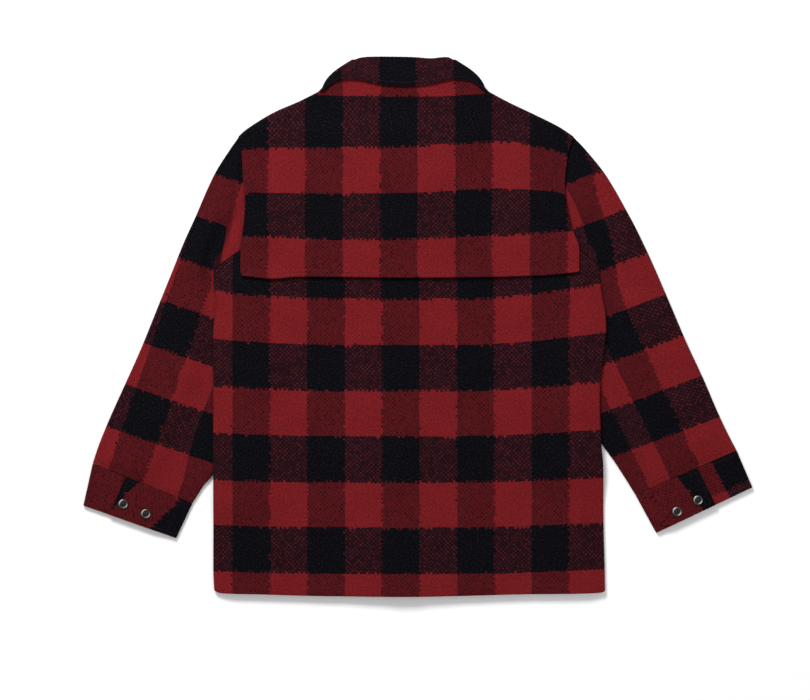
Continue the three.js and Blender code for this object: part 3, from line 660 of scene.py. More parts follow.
CUFF_SHIFT = {
    "left": {"by": -30, "middle": 0, "half": 110, "slope": 100},
    "right": {"by": 14, "middle": 292, "half": 8, "slope": 30},
}


def body_cloth(x, y):
    bend = follow(BODY_BEND, x) * follow(BODY_BEND_FADE, y)
    return x + BODY_PHASE[0], BODY_PHASE[1] - y + bend


def cape_cloth(x, y):
    bend = mix(follow(CAPE_BEND_FOOT, x), follow(CAPE_BEND_TOP, x), smooth(*CAPE_BEND_BETWEEN, y))
    (sag_x, sag_y), (reach_x, reach_y) = CAPE_SAG["middle"], CAPE_SAG["reach"]
    bend -= CAPE_SAG["depth"] * math.exp(-(((x - sag_x) / reach_x) ** 2) - ((y - sag_y) / reach_y) ** 2)
    yoke = follow(YOKE_EASE, x) * smooth(*YOKE_BETWEEN, y)
    return x + CAPE_PHASE[0], CAPE_PHASE[1] - y + bend + yoke


def sleeve_grain(side, point, ring):
    """Place in the check, eased where the photo's stripes lean or widen."""
    grain = SLEEVE_GRAIN[side]
    away = point - Vector(grain["square"])
    t = away.dot(Vector(grain["down"])) * grain["stretch"] + WEFT_STRIPE / 2
    s = away.dot(Vector(grain["across"])) + WARP_STRIPE / 2
    if side == "right":
        start, stop = follow(RIGHT_BLACK, t, 1), follow(RIGHT_BLACK, t, 2)
        level = RIGHT_SLANT["level"] * fade(t - RIGHT_SLANT["from"], RIGHT_SLANT["over"])
        t -= RIGHT_SLANT["slope"] * (s - level)
        if s > stop:
            return WARP_STRIPE + RIGHT_BEYOND * (s - stop), t
        return WARP_STRIPE * (s - start) / (stop - start), t
    widened = 1 + LEFT_WIDENS["by"] * smooth(*LEFT_WIDENS["between"], -t)
    s = WARP_STRIPE / 2 + (s - WARP_STRIPE / 2) * widened
    head = smooth(*LEFT_HEAD["across"], s) * (1 - smooth(*LEFT_HEAD["rings"], ring))
    head *= smooth(*LEFT_HEAD["starts"], t) * (1 - smooth(*LEFT_HEAD["ends"], t))
    return s, t - LEFT_HEAD["shift"] * head


def sleeve_cloth(side, point, ring, share, below):
    s, t = sleeve_grain(side, point, ring)
    if share > SLEEVE_SEAM:
        s += SEAM_SHIFT[side]
    if below:
        outer, _, across, _ = sleeve_section(side, ring)
        fold, _ = sleeve_grain(side, outer + across * FOLD_OUT, ring)
        outward = -1 if side == "left" else 1
        if share > 0 or (point - outer).dot(across) > FOLD_OUT - NEARLY:
            s = 2 * fold - s + outward * math.pi * FOLD_OUT
    return s, t


def cuff_cloth(side, gone, down):
    """Cuffs are cut across the grain, so that one black warp stripe runs round each."""
    shift = CUFF_SHIFT[side]
    t = gone - CUFF_PHASE[side]
    t += shift["by"] * fade(abs(gone - shift["middle"]) - shift["half"], shift["slope"])
    s = CUFF_STRIPE["edge"] + CUFF_STRIPE["depth"] * down
    if side == "right":
        corner = CUFF_CORNER["edge"] + CUFF_CORNER["depth"] * down
        s = mix(s, corner, fade(gone - CUFF_CORNER["ends"], CUFF_CORNER["slope"]))
    return s, t


def collar_cloth(point, station, fall):
    side, share, turn = station
    around = point.x - FRONT_MIDDLE
    if side:
        half = mix(FOLD_HALF, EDGE_HALF, max(fall, 0))
        around = side * (half + (math.pi / 2 - turn) * LEAF_RADIUS + (1 - share) * half)
    return around + FRONT_MIDDLE + COLLAR_PHASE, COLLAR_CUT["edge"] + COLLAR_CUT["fall"] * fall


# Folds of the laid cloth beyond its main ridges
BODY_FOLDS = [
    (-303, 90, -212, 18, 9, 3.0), (-313, 52, -236, -46, 12, 1.9), (273, 86, 200, 24, 9, 2.6),
    (286, 40, 222, -56, 12, 1.7), (247, -165, 250, -409, 4.5, 1.9), (180, -350, 190, -415, 5, 1.7),
    (-205, -40, -120, -235, 26, 1.5), (40, 40, 96, -160, 30, 1.2), (-60, -90, -40, -330, 34, 1.1),
    (150, -20, 176, -220, 24, 1.3), (-290, -120, -262, -390, 18, 1.5), (-232, -300, -214, -415, 14, 1.2),
    (110, -330, 120, -416, 16, 1.0), (-100, -350, -92, -416, 14, 1.1), (10, 250, 60, 120, 26, 1.2),
    (-110, 280, -70, 130, 24, 1.0),
]
CAPE_FOLDS = [
    (-262, 235, -226, 78, 13, 1.7), (235, 262, 214, 84, 12, 1.9), (-140, 190, -128, 70, 22, 1.6),
    (36, 180, 44, 68, 26, 1.4), (128, 200, 136, 72, 18, 1.5), (-40, 170, -52, 68, 20, 1.2),
]
SLEEVE_FOLDS = {
    "left": [
        (-378, 40, -316, 14, 12, 2.4), (-408, -52, -334, -92, 14, 2.6), (-446, -116, -372, -172, 12, 2.2),
        (-300, 226, -286, 128, 8, 1.9), (-352, 120, -300, 60, 12, 1.8),
        (-470, -166, -400, -226, 12, 1.7), (-318, 196, -300, 110, 10, 1.3),
    ],
    "right": [
        (362, 52, 300, 20, 12, 2.3), (400, -40, 316, -84, 14, 2.7), (436, -104, 350, -156, 12, 2.3),
        (270, 224, 252, 130, 8, 2.0), (330, 118, 276, 56, 12, 1.9), (462, -150, 384, -212, 12, 1.8),
        (300, 170, 282, 96, 10, 1.4),
    ],
}
FOLD_VARIES = {"least": 0.01, "mean": 0.8, "by": 0.45, "length": 40}
UNEVEN = {"broad": (88, 0.75), "fine": (31, 0.3), "apart": 9, "mean": 0.35}
BODY_AIR = {"height": 3.2, "slope": 30}
YOKE_CALM = {"from": 290, "slope": 40}
HEM_RIDGE = {"height": 0.9, "at": 13.5, "slope": 3.5}
DEEPEST = -0.2
CAPE_CURL = {"height": 1.2, "slope": 18, "mean": 0.75, "by": 0.5, "length": 55}
CAPE_RIDGE = {"height": 0.7, "at": 6, "slope": 3}
SLEEVE_CALM = {"armhole": 0.9, "cuff": (11.4, 0.6), "seam": (0.45, 0.22), "fold": 0.12}
SLEEVE_PUFF = {"height": 3, "curve": 0.8, "uneven": 0.8}
NOISE_PLACE = {"body": 3, "sleeve": 7, "curl": 5}


def unevenness(x, y, seed):
    """Soft unevenness of cloth that was laid by hand."""
    (long, broad), (short, fine) = UNEVEN["broad"], UNEVEN["fine"]
    total = broad * noise.noise(Vector((x / long, y / long, seed)))
    total += fine * noise.noise(Vector((x / short, y / short, seed + UNEVEN["apart"])))
    return total + UNEVEN["mean"]


def fold_height(folds, x, y):
    total = 0.0
    length = FOLD_VARIES["length"]
    for k, fold in enumerate(folds):
        near = ridge_height(fold, x, y)
        if near > FOLD_VARIES["least"]:
            varied = noise.noise(Vector((x / length, y / length, k)))
            total += near * (FOLD_VARIES["mean"] + FOLD_VARIES["by"] * varied)
    return total


def air(x, y):
    """The body stands a little off the fronts, away from its sides."""
    reach = min(x - body_edge("left", y), body_edge("right", y) - x)
    return BODY_AIR["height"] * smooth(0, BODY_AIR["slope"], reach)


def stitched_ridge(ridge, reach):
    """Height of a doubled edge, up to its line of stitches."""
    return ridge["height"] * fade(reach - ridge["at"], ridge["slope"])


def calm_above(y):
    return fade(y - YOKE_CALM["from"], YOKE_CALM["slope"])


def body_crease(x, y):
    hem = stitched_ridge(HEM_RIDGE, y - follow(HEM_LINE, x))
    uneven = unevenness(x, y, NOISE_PLACE["body"])
    return calm_above(y) * max(fold_height(BODY_FOLDS, x, y) + uneven + air(x, y) + hem, DEEPEST)


def cape_crease(x, y):
    reach = y - follow(CAPE_FOOT, x)
    varied = noise.noise(Vector((x / CAPE_CURL["length"], 0, NOISE_PLACE["curl"])))
    curl = CAPE_CURL["height"] * fade(reach, CAPE_CURL["slope"])
    curl *= CAPE_CURL["mean"] + CAPE_CURL["by"] * varied
    curl += stitched_ridge(CAPE_RIDGE, reach)
    return body_crease(x, y) + calm_above(y) * (fold_height(CAPE_FOLDS, x, y) + curl)


def sleeve_crease(side, ring, share, x, y):
    (cuff, cuff_slope), (seam, seam_slope) = SLEEVE_CALM["cuff"], SLEEVE_CALM["seam"]
    calm = smooth(0, SLEEVE_CALM["armhole"], ring) * fade(ring - cuff, cuff_slope)
    calm *= fade(share - seam, seam_slope) * smooth(0, SLEEVE_CALM["fold"], share)
    crown = SLEEVE_PUFF["height"] * math.sin(math.pi * clamp(share)) ** SLEEVE_PUFF["curve"]
    uneven = SLEEVE_PUFF["uneven"] * unevenness(x, y, NOISE_PLACE["sleeve"])
    return calm * (fold_height(SLEEVE_FOLDS[side], x, y) + uneven + crown)


def no_crease(x, y):
    return 0.0


def cape_corner(y):
    """How far the rounded lower corners of the cape stand in."""
    return CAPE_CORNER["size"] * (1 - smooth(*CAPE_CORNER["between"], y)) ** 2


def cape_left(y):
    """The left side, which reaches the edge of the body at the shoulder."""
    shoulder = CAPE_SHOULDER["reach"] * smooth(*CAPE_SHOULDER["between"], y)
    return max(body_edge("left", y), CAPE_SIDES[0] - shoulder + cape_corner(y))


def cape_right(y):
    return min(body_edge("right", y), CAPE_SIDES[1] - cape_corner(y))


BACK = {
    "left": lambda y: body_edge("left", y), "right": lambda y: body_edge("right", y),
    "left_roll": side_roll, "right_roll": side_roll, "top": back_top,
    "foot": lambda x: follow(HEM_LINE, x), "lift": back_lift, "crease": body_crease,
    "cloth": body_cloth, "columns": 132, "rows": 176, "up": 1,
}
CAPE = {
    **BACK,
    "left": cape_left, "right": cape_right, "left_roll": no_roll, "right_roll": no_roll,
    "foot": lambda x: follow(CAPE_FOOT, x), "crease": cape_crease, "cloth": cape_cloth,
    "columns": 120, "rows": 76,
}
FRONT = {
    **BACK,
    "top": front_top, "foot": lambda x: follow(HEM_LINE, x) + FRONT_HEM_SHORTER,
    "crease": no_crease, "up": -1, "rows": 120, "columns": 52,
}
FRONTS = {
    "left": {
        **FRONT, "right": lambda y: FRONT_MIDDLE + FRONT_LAP, "right_roll": no_roll, "lift": no_lift,
    },
    "right": {
        **FRONT, "left": lambda y: FRONT_MIDDLE - FRONT_LAP, "left_roll": no_roll, "lift": right_lap_lift,
    },
}


def in_place(point):
    return (point + SHIFT) * MM


def finish_piece(name, bm, slot, *materials):
    mesh = bpy.data.meshes.new(name)
    bm.to_mesh(mesh)
    bm.free()
    mesh.shade_smooth()
    for material in materials:
        mesh.materials.append(material)
    piece = bpy.data.objects.new(name, mesh)
    bpy.context.scene.collection.objects.link(piece)
    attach(piece, "root")
    return piece


def cloth_piece(name, node, outer, inner, material, is_tube=False):
    """One wall of cloth: a grid moved to its outer face, then extruded to its inner one."""
    columns, rows = len(outer), len(outer[0])
    bm = bmesh.new()
    column_of = bm.verts.layers.int.new("column")
    row_of = bm.verts.layers.int.new("row")
    uv = bm.loops.layers.uv.new("cloth")
    across = columns if is_tube else columns - 1
    grid = bmesh.ops.create_grid(bm, x_segments=across, y_segments=rows - 1, size=0.5)["verts"]
    for vertex in grid:
        vertex[column_of] = round((vertex.co.x + 0.5) * across)
        vertex[row_of] = round((vertex.co.y + 0.5) * (rows - 1))
    for vertex in grid:
        vertex.co = in_place(outer[vertex[column_of] % columns][vertex[row_of]][0])
    for face in bm.faces:
        for loop in face.loops:
            s, t = outer[loop.vert[column_of] % columns][loop.vert[row_of]][1]
            loop[uv].uv = (s * MM, t * MM)
    if is_tube:
        seam = [vertex for vertex in grid if vertex[column_of] in (0, across)]
        bmesh.ops.remove_doubles(bm, verts=seam, dist=MERGED_WITHIN)
    made = bmesh.ops.extrude_face_region(bm, geom=list(bm.faces), use_keep_orig=True)["geom"]
    for vertex in made:
        if isinstance(vertex, bmesh.types.BMVert):
            vertex.co = in_place(inner[vertex[column_of] % columns][vertex[row_of]][0])
    bmesh.ops.recalc_face_normals(bm, faces=bm.faces)
    if bm.calc_volume(signed=True) < 0:
        bmesh.ops.reverse_faces(bm, faces=bm.faces)
    piece = finish_piece(name, bm, "wool_check", material)
    edge = piece.modifiers.new("soft edge", "BEVEL")
    edge.width = SOFT_EDGE["width"]
    edge.segments = SOFT_EDGE["segments"]
    edge.limit_method = "ANGLE"
    edge.angle_limit = math.radians(SOFT_EDGE["angle"])
    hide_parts(node)
    return piece


class Field:
    """A number that varies over a surface. Arithmetic on it adds Math nodes."""

    def __init__(self, paint, socket):
        self.paint = paint
        self.socket = socket

    def math(self, operation, *others):
        values = {0: self}
        values.update({k + 1: other for k, other in enumerate(others)})
        return self.paint.node("ShaderNodeMath", {"operation": operation}, values)

    def __add__(self, other):
        return self.math("ADD", other)

    __radd__ = __add__

    def __mul__(self, other):
        return self.math("MULTIPLY", other)

    __rmul__ = __mul__

    def __sub__(self, other):
        return self.math("SUBTRACT", other)

    def __rsub__(self, other):
        return self * -1 + other

    def __truediv__(self, other):
        return self.math("DIVIDE", other)

    def floor(self):
        return self.math("FLOOR")

    def wrap(self, period):
        return self.math("FLOORED_MODULO", period)

    def below(self, limit):
        return self.math("LESS_THAN", limit)

    def size(self):
        return self.math("ABSOLUTE")

    def upto(self, other):
        return self.math("MAXIMUM", other)


class Paint:
    """A material whose nodes are made one at a time."""

    def __init__(self, name):
        self.material = bpy.data.materials.new(name)
        self.material.use_nodes = True
        self.tree = self.material.node_tree
        self.shader = self.tree.nodes["Principled BSDF"]

    def node(self, kind, settings=None, values=None, output=0):
        made = self.tree.nodes.new(kind)
        for name, setting in (settings or {}).items():
            setattr(made, name, setting)
        for name, value in (values or {}).items():
            self.join(value, made.inputs[name])
        return Field(self, made.outputs[output])

    def join(self, value, socket):
        if isinstance(value, Field):
            self.tree.links.new(value.socket, socket)
        elif socket.type == "RGBA":
            socket.default_value = (*value, 1)
        else:
            socket.default_value = value

    def blend(self, share, low, high):
        """Colour between two colours."""
        return self.node("ShaderNodeMix", {"data_type": "RGBA"}, {0: share, 6: low, 7: high}, 2)

    def noise(self, place, scale, detail=2, roughness=0.5):
        values = {"Vector": place, "Scale": scale, "Detail": detail, "Roughness": roughness}
        return self.node("ShaderNodeTexNoise", {}, values)

    def vector(self, x, y):
        return self.node("ShaderNodeCombineXYZ", {}, {0: x, 1: y})

    def bump(self, height, distance, strength=1.0):
        values = {"Height": height, "Distance": distance, "Strength": strength}
        self.join(self.node("ShaderNodeBump", {}, values), self.shader.inputs["Normal"])

    def finish(self, **sockets):
        for name, value in sockets.items():
            self.join(value, self.shader.inputs[name.replace("_", " ")])
        return self.material


# Wool: length of a float in millimetres, colours, and the noises with scale, detail and roughness
FLOAT = 3.25
RED_WOOL = (0.15, 0.0086, 0.0108)
PINK_DOT = (0.165, 0.018, 0.026)
BLACK_WOOL = (0.0017, 0.0016, 0.0031)
DUST = (0.042, 0.036, 0.042)
WOOL_NOISE = {
    "fuzz": (0.8, 1), "drift": (0.3, 2), "warp_way": (0.05, 1), "weft_way": (0.045, 1),
    "felt": (0.3, 4, 0.7), "cloud": (0.02, 2), "patch": (0.09, 3, 0.6), "speck": (0.5, 2, 0.6),
    "fleck": (0.42, 4, 0.7), "nap": (0.7, 4, 0.7),
}
WANDER = {"warp_way": 2.6, "weft_way": 3.0, "fuzz": 1.5, "drift": 1.2}
HAIR = {"float": 1.1, "thread": 2.4}
FLOAT_HALF = {"warp": 0.44, "weft": 0.46}
DOT = {"mean": 0.5, "thread": 0.9, "patch": 1.6, "speck": 1.6, "least": 0.05}
RED_SHARE = {"both": 0.1, "weft": (0.47, 0.34), "warp": (0.05, 0.29)}
TONE = {"felt": 1.7, "cloud": 0.3, "speck": 0.5}
FLECK = {"over": 0.53, "strength": 2.0}
RELIEF = {"weave": 0.45, "weft": 0.8, "nap": 0.8, "felt": 0.9, "height": 0.0008, "strength": 0.7}


def grain_of(paint, plain):
    """Noises of the wool by name."""
    return {name: paint.noise(plain, *settings) for name, settings in WOOL_NOISE.items()}


def wander(place, grain, way):
    """Place across the threads, moved a little as the cloth's own threads wander."""
    for name in (way, "fuzz", "drift"):
        place = place + (grain[name] - 0.5) * WANDER[name]
    return place


def is_red(thread, hair, stripe):
    """1 where a thread belongs to a red stripe, with a hairy edge."""
    return ((thread * FLOAT + FLOAT / 2 + hair) / stripe).floor().wrap(2)


def rounded(place):
    """Round section of the two threads that lie side by side in a float."""
    across = (place * 2 / FLOAT).wrap(1) - 0.5
    return 1 - across * across * 4


def wool_check():
    """Heavy napped wool of paired threads, red and black each way."""
    paint = Paint("wool check")
    cloth = paint.node("ShaderNodeUVMap", {"uv_map": "cloth"})
    plain = paint.node("ShaderNodeVectorMath", {"operation": "SCALE"}, {0: cloth, "Scale": 1 / MM})
    parts = paint.node("ShaderNodeSeparateXYZ", {}, {0: plain})
    grain = grain_of(paint, plain)
    s = wander(parts, grain, "warp_way")
    t = wander(Field(paint, parts.socket.node.outputs[1]), grain, "weft_way")
    warp = (s / FLOAT).floor()
    weft = (t / FLOAT).floor()
    in_warp = (s / FLOAT - warp - 0.5).size().below(FLOAT_HALF["warp"])
    in_weft = (t / FLOAT - weft - 0.5).size().below(FLOAT_HALF["weft"])
    thread_tone = paint.node(
        "ShaderNodeTexWhiteNoise", {"noise_dimensions": "2D"}, {"Vector": paint.vector(warp, weft)},
    )
    over = (warp + weft).wrap(2).below(0.5)
    hair = (over - 0.5) * HAIR["float"] + (thread_tone - 0.5) * HAIR["thread"]
    warp_red = is_red(warp, hair, WARP_STRIPE)
    weft_red = is_red(weft, hair, WEFT_STRIPE)
    over = over * in_warp * in_weft
    strength = DOT["mean"] + (thread_tone - 0.5) * DOT["thread"]
    strength = strength + (grain["patch"] - 0.5) * DOT["patch"] + (grain["speck"] - 0.5) * DOT["speck"]
    strength = strength.upto(DOT["least"])
    weft_alone = weft_red * (1 - warp_red)
    warp_alone = warp_red * (1 - weft_red)
    red = warp_red * weft_red * (1 - over * RED_SHARE["both"])
    red = red + weft_alone * (RED_SHARE["weft"][0] - over * RED_SHARE["weft"][1] * strength)
    red = red + warp_alone * (RED_SHARE["warp"][0] + over * RED_SHARE["warp"][1] * strength)
    tone = 1 + (grain["felt"] - 0.5) * TONE["felt"] + (grain["cloud"] - 0.5) * TONE["cloud"]
    tone = tone + (grain["speck"] - 0.5) * TONE["speck"]
    fleck = (grain["fleck"] - FLECK["over"]).upto(0) * FLECK["strength"]
    dyed = paint.blend(red, BLACK_WOOL, paint.blend(warp_alone, RED_WOOL, PINK_DOT))
    colour = paint.blend(fleck, dyed, DUST)
    grey = paint.node("ShaderNodeCombineColor", {}, {0: tone, 1: tone, 2: tone})
    multiply = {"data_type": "RGBA", "blend_type": "MULTIPLY"}
    shade = paint.node("ShaderNodeMix", multiply, {0: 1.0, 6: colour, 7: grey}, 2)
    weave = over * rounded(s) + (1 - over) * rounded(t) * RELIEF["weft"]
    height = weave * RELIEF["weave"] + grain["nap"] * RELIEF["nap"] + grain["felt"] * RELIEF["felt"]
    paint.bump(height, RELIEF["height"], RELIEF["strength"])
    return paint.finish(
        Base_Color=shade, Roughness=0.92 + (grain["felt"] - 0.5) * 0.1, Sheen_Weight=0.012,
        Sheen_Roughness=0.4, Sheen_Tint=(1.0, 0.8, 0.78), Specular_IOR_Level=0.04,
    )


# Metal and thread
# Rim colour, and the colour of the painted highlights on it
RIM_DARK = (0.07, 0.07, 0.072)
RIM_HIGHLIGHT = (0.5, 0.49, 0.47)
# Colour in the bowl, also used for the painted shadow on the cap's outer side
BOWL_DARK_AND_SHADOW = (0.008, 0.008, 0.009)
THREAD_DARK = (0.012, 0.002, 0.003)
THREAD_LIGHT = (0.05, 0.006, 0.008)


def snap_metal():
    """Antique nickel, dark in the bowl; a painted shadow round the outer side and painted highlights in
    arcs on the rim.
    """
    paint = Paint("snap metal")
    place = paint.node("ShaderNodeTexCoord", {}, {}, 3)
    wear = paint.noise(place, 900, 3)
    # Darker in the bowl, and a painted shadow on the outer side of the cap
    bowl = paint.node("ShaderNodeAttribute", {"attribute_name": "bowl"}, {}, 2)
    # Painted highlights: arcs of the rim lit at fixed angles
    highlight_share = paint.node("ShaderNodeAttribute", {"attribute_name": "rim_highlight"}, {}, 2)
    colour = paint.blend(bowl, paint.blend(highlight_share, RIM_DARK, RIM_HIGHLIGHT), BOWL_DARK_AND_SHADOW)
    paint.bump(wear, 0.00008, 0.5)
    roughness = 0.22 + wear * 0.2 + bowl * 0.25
    return paint.finish(Base_Color=colour, Metallic=1.0 - bowl * 0.4, Roughness=roughness)


def thread():
    """Dark red sewing thread, twisted."""
    paint = Paint("sewing thread")
    place = paint.node("ShaderNodeTexCoord", {}, {}, 3)
    tone = paint.noise(place, 1500, 2)
    paint.bump(tone, 0.0001, 0.6)
    colour = paint.blend(tone, THREAD_DARK, THREAD_LIGHT)
    return paint.finish(Base_Color=colour, Roughness=0.6 + tone * 0.2, Specular_IOR_Level=0.25)


WOOL = wool_check()
METAL = snap_metal()
THREAD = thread()

# Stitches in millimetres, and where their rows lie, in columns and rows of a wall's grid
STITCH = {"length": 3.0, "pitch": 4.0, "width": 0.75, "height": 0.6, "proud": 0.12}
HEM_STITCHES = {"up_mm": 15, "ends": 3}
CAPE_STITCHES = {"up_mm": 7, "ends": 1}
LEAF_STITCHES = {"up": 3.2, "ends": 1}
CUFF_STITCHES = {"start": 2, "end": 2.4, "top": 1.3, "foot": 1.5}
PLACKET_STITCHES = {"in": 6.5, "apart": 5.5, "foot": 1, "top": 8}
SEAM_STITCHES = {"column": 64, "before": (0.7, 2.9), "rows": (73, 103)}
ABOVE_CUFF_STITCHES = {"start": 1, "beyond": 8, "row": 102.4}


def snap_profile():
    """Half section of a snap cap, from the middle of its back over the rim into the bowl."""
    middle, half = (SNAP["radius"] + SNAP["bowl"]) / 2, (SNAP["radius"] - SNAP["bowl"]) / 2
    foot, rise = SNAP["rim_foot"], SNAP["height"] - SNAP["rim_foot"]
    turns = [math.pi * k / SNAP["rim_steps"] for k in range(SNAP["rim_steps"] + 1)]
    rim = [(middle + half * math.cos(turn), foot + rise * math.sin(turn)) for turn in turns]
    return SNAP_BACK + rim + SNAP_BOWL


def snap_cap(name, place, flipped=False):
    bm = bmesh.new()
    dark_bowl_and_painted_shadow = bm.verts.layers.float.new("bowl")
    painted_highlight = bm.verts.layers.float.new("rim_highlight")
    verts = [bm.verts.new(Vector((x, 0, z)) * MM) for x, z in snap_profile()]
    edges = [bm.edges.new(pair) for pair in zip(verts, verts[1:])]
    bmesh.ops.spin(
        bm, geom=verts + edges, axis=(0, 0, 1), cent=(0, 0, 0), angle=2 * math.pi,
        steps=SNAP_SPIN, use_merge=True,
    )
    bmesh.ops.remove_doubles(bm, verts=bm.verts, dist=MERGED_WITHIN)
    bmesh.ops.recalc_face_normals(bm, faces=bm.faces)
    for vertex in bm.verts:
        reach = math.hypot(vertex.co.x, vertex.co.y) / MM
        around = math.atan2(vertex.co.y, vertex.co.x)
        # Darker in the bowl, and a painted shadow on the cap's outer side
        vertex[dark_bowl_and_painted_shadow] = max(1 - smooth(*SNAP_DARK_AND_SHADOW["bowl"], reach), smooth(*SNAP_DARK_AND_SHADOW["side"], reach))
        # Painted highlights: arcs of the rim made lighter at the same angles on every snap
        vertex[painted_highlight] = sum(
            size * max(0, math.cos(around - middle)) ** power for middle, power, size in SNAP_HIGHLIGHT_ARCS
        )
    turn = Matrix.Rotation(math.pi, 4, "X") if flipped else Matrix.Identity(4)
    seat = Matrix.Translation(in_place(Vector(place)))
    bmesh.ops.transform(bm, matrix=seat @ turn, verts=bm.verts)
    piece = finish_piece(name, bm, "snap_metal", METAL)
    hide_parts(name.replace("cap", "snap"))
    return piece


def on_cloth(wall, i, j):
    """Point and outward direction at a place on the grid of a wall."""
    i0, j0 = min(int(i), len(wall[0]) - 2), min(int(j), len(wall[0][0]) - 2)

    def at(face):
        low = face[i0][j0][0].lerp(face[i0 + 1][j0][0], i - i0)
        high = face[i0][j0 + 1][0].lerp(face[i0 + 1][j0 + 1][0], i - i0)
        return low.lerp(high, j - j0)

    point = at(wall[0])
    return point, (point - at(wall[1])).normalized()


def line_over(wall, start, stop, parts=150):
    """Points of a line over a wall. The first row may be a function of the column."""
    line = []
    for k in range(parts + 1):
        i = mix(start[0], stop[0], k / parts)
        j = start[1](i) if callable(start[1]) else mix(start[1], stop[1], k / parts)
        line.append(on_cloth(wall, i, j))
    return line


def stitching(name, lines):
    """Rows of stitches, each a short rounded bar of thread sunk in the nap."""
    bm = bmesh.new()
    for line in lines:
        gone, due = 0.0, STITCH["pitch"] / 2
        for (here, out), (ahead, _) in zip(line, line[1:]):
            span = (ahead - here).length
            while span > 0 and due <= gone + span:
                way = (ahead - here).normalized()
                side = out.cross(way).normalized()
                middle = in_place(here.lerp(ahead, (due - gone) / span) + out * STITCH["proud"])
                axes = [
                    way * STITCH["length"] / 2 * MM,
                    side * STITCH["width"] / 2 * MM,
                    way.cross(side) * STITCH["height"] / 2 * MM,
                    middle,
                ]
                shape = Matrix([[*(axis[row] for axis in axes)] for row in range(3)] + [[0, 0, 0, 1]])
                bmesh.ops.create_icosphere(bm, subdivisions=1, radius=1, matrix=shape)
                due += STITCH["pitch"]
            gone += span
    bmesh.ops.recalc_face_normals(bm, faces=bm.faces)
    return finish_piece(name, bm, "wool_check", THREAD)


def row_at(face, distance):
    """Row number at a distance from the foot of a panel, for any column."""
    last = len(face[0]) - 1 - EDGE_LINES
    return lambda i: distance * last / (face[int(i)][last][0].y - face[int(i)][0][0].y)


def along_foot(wall, stitches):
    """A line along the foot of a panel."""
    start, stop = stitches["ends"], len(wall[0]) - 1 - stitches["ends"]
    return (start, row_at(wall[0], stitches["up_mm"])), (stop, 0)


def cuff_lines(wall):
    start, stop = CUFF_STITCHES["start"], len(wall[0]) - 1 - CUFF_STITCHES["end"]
    top, foot = CUFF_STITCHES["top"], len(wall[0][0]) - 1 - CUFF_STITCHES["foot"]
    return [((start, foot), (stop, foot)), ((start, top), (stop, top)), ((stop, top), (stop, foot))]


def placket_lines(wall, side):
    top = len(wall[0][0]) - 1 - PLACKET_STITCHES["top"]
    edge, inward = PLACKET_STITCHES["in"], PLACKET_STITCHES["apart"]
    if side == "left":
        edge, inward = len(wall[0]) - 1 - edge, -inward
    return [((x, PLACKET_STITCHES["foot"]), (x, top)) for x in (edge, edge + inward)]


def sleeve_lines():
    """Two rows at the felled seam, and one above the cuff."""
    seam, (start, stop) = SEAM_STITCHES["column"], SEAM_STITCHES["rows"]
    lines = [((seam - before, start), (seam - before, stop)) for before in SEAM_STITCHES["before"]]
    row = ABOVE_CUFF_STITCHES["row"]
    return lines + [((ABOVE_CUFF_STITCHES["start"], row), (seam + ABOVE_CUFF_STITCHES["beyond"], row))]


def sewn_rows(walls):
    """Rows of stitches by name, each with its node and its lines."""
    leaf_end = len(walls["collar_leaf"][0]) - 1 - LEAF_STITCHES["ends"]
    leaf_line = (LEAF_STITCHES["ends"], LEAF_STITCHES["up"]), (leaf_end, LEAF_STITCHES["up"])
    rows = {
        "back_hem": ("back_panel", [along_foot(walls["back_panel"], HEM_STITCHES)]),
        "cape_edge": ("back_cape", [along_foot(walls["back_cape"], CAPE_STITCHES)]),
        "leaf_edge": ("collar_leaf", [leaf_line]),
    }
    for side in ("left", "right"):
        cuff, front, sleeve = f"cuff_{side}", f"front_{side}", f"sleeve_{side}"
        rows[f"{cuff}_edges"] = (cuff, cuff_lines(walls[cuff]))
        rows[f"{front}_hem"] = (front, [along_foot(walls[front], HEM_STITCHES)])
        rows[f"{front}_placket"] = (front, placket_lines(walls[front], side))
        rows[f"{sleeve}_seam"] = (sleeve, sleeve_lines())
    return rows


# Camera, straight over the jacket, and soft studio light: place, size and power of each lamp
CLIP_END = 50
WORLD_STRENGTH = 0.52
LIGHTS = {"key": ((-1.1, 2.3, 2.2), 1.1, 125), "fill": ((1.6, -1.2, 3.0), 2.2, 22)}
FLOOR = {"half": 6, "height": -0.0006}
PAPER = ((0.88, 0.88, 0.88), (0.9, 0.9, 0.9))


def camera():
    lens = bpy.data.cameras.new("camera")
    lens.sensor_width = SENSOR
    lens.lens = SENSOR * CAMERA_HEIGHT / (PHOTO["width"] * PHOTO["mm_a_pixel"] * MM)
    lens.clip_end = CLIP_END
    eye = bpy.data.objects.new("camera", lens)
    eye.location = (*PHOTO["middle"], CAMERA_HEIGHT)
    bpy.context.scene.collection.objects.link(eye)
    bpy.context.scene.camera = eye


def soft_light(name, place, size, power):
    lamp = bpy.data.lights.new(name, "AREA")
    lamp.shape = "SQUARE"
    lamp.size = size
    lamp.energy = power
    light = bpy.data.objects.new(name, lamp)
    light.location = place
    light.rotation_euler = (-Vector(place)).to_track_quat("-Z", "Y").to_euler()
    bpy.context.scene.collection.objects.link(light)


def floor():
    bm = bmesh.new()
    bmesh.ops.create_grid(bm, x_segments=1, y_segments=1, size=FLOOR["half"])
    mesh = bpy.data.meshes.new("floor")
    bm.to_mesh(mesh)
    bm.free()
    paint = Paint("floor")
    paper = paint.noise(paint.node("ShaderNodeTexCoord", {}, {}, 3), 40, 2)
    colour = paint.blend(paper, *PAPER)
    mesh.materials.append(paint.finish(Base_Color=colour, Roughness=0.8, Specular_IOR_Level=0.2))
    surface = bpy.data.objects.new("floor", mesh)
    surface.location.z = FLOOR["height"]
    bpy.context.scene.collection.objects.link(surface)


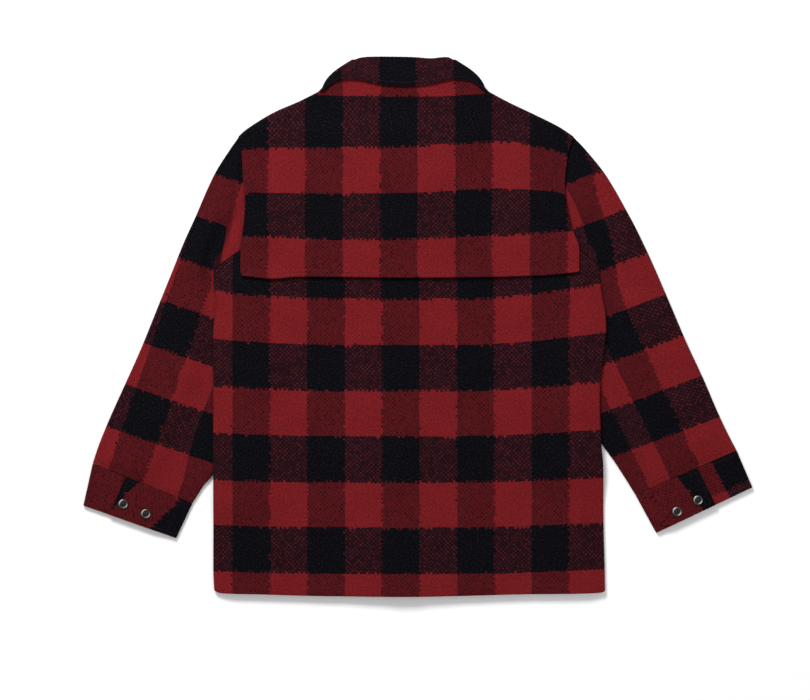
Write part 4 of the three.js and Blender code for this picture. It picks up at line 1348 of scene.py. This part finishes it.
def studio():
    scene = bpy.context.scene
    scene.view_settings.view_transform = "Standard"
    scene.world = bpy.data.worlds.new("studio")
    scene.world.use_nodes = True
    surround = scene.world.node_tree.nodes["Background"]
    surround.inputs["Color"].default_value = (1, 1, 1, 1)
    surround.inputs["Strength"].default_value = WORLD_STRENGTH
    for name, settings in LIGHTS.items():
        soft_light(name, *settings)
    floor()


camera()
studio()

# Walls of cloth by node: points of the outer face and of the inner one
WALLS = {
    "back_panel": (panel_face(BACK, FOLD_OUT), panel_face(BACK, FOLD_IN)),
    "back_cape": (panel_face(CAPE, CAPE_IN + CLOTH), panel_face(CAPE, CAPE_IN)),
    "collar_leaf": (neck_face(leaf_loops(True)), neck_face(leaf_loops(False))),
    "collar_stand": (neck_face(stand_loops(FOLD_OUT)), neck_face(stand_loops(FOLD_IN))),
}
for side in ("left", "right"):
    WALLS[f"front_{side}"] = (panel_face(FRONTS[side], FOLD_OUT), panel_face(FRONTS[side], FOLD_IN))
    WALLS[f"sleeve_{side}"] = (sleeve_face(side, FOLD_OUT), sleeve_face(side, FOLD_IN))
    WALLS[f"cuff_{side}"] = (cuff_face(side, CUFF_CLOTH / 2), cuff_face(side, -CUFF_CLOTH / 2))
pieces = {
    node: cloth_piece(f"{node}_wool", node, *wall, WOOL, node.startswith("sleeve"))
    for node, wall in WALLS.items()
}

for name, (node, lines) in sewn_rows(WALLS).items():
    stitching(f"{name}_stitches", [line_over(WALLS[node], *line) for line in lines])

# Snaps: two on each cuff, seven down the closed front
cuff_top = CUFF_UNDER + CUFF_LAP_RISE + CUFF_CLOTH / 2 + SEAM_GAP
for side in ("left", "right"):
    for k, (x, y) in enumerate(CUFFS[side]["snaps"]):
        snap_cap(f"cuff_cap_{side}_{k + 1}", (x, y, cuff_top))
for k in range(FRONT_SNAPS["count"]):
    y = FRONT_SNAPS["first"] - k * FRONT_SNAPS["spacing"]
    snap_cap(f"front_cap_{k + 1}", (FRONT_MIDDLE, y, SNAP["height"]), True)
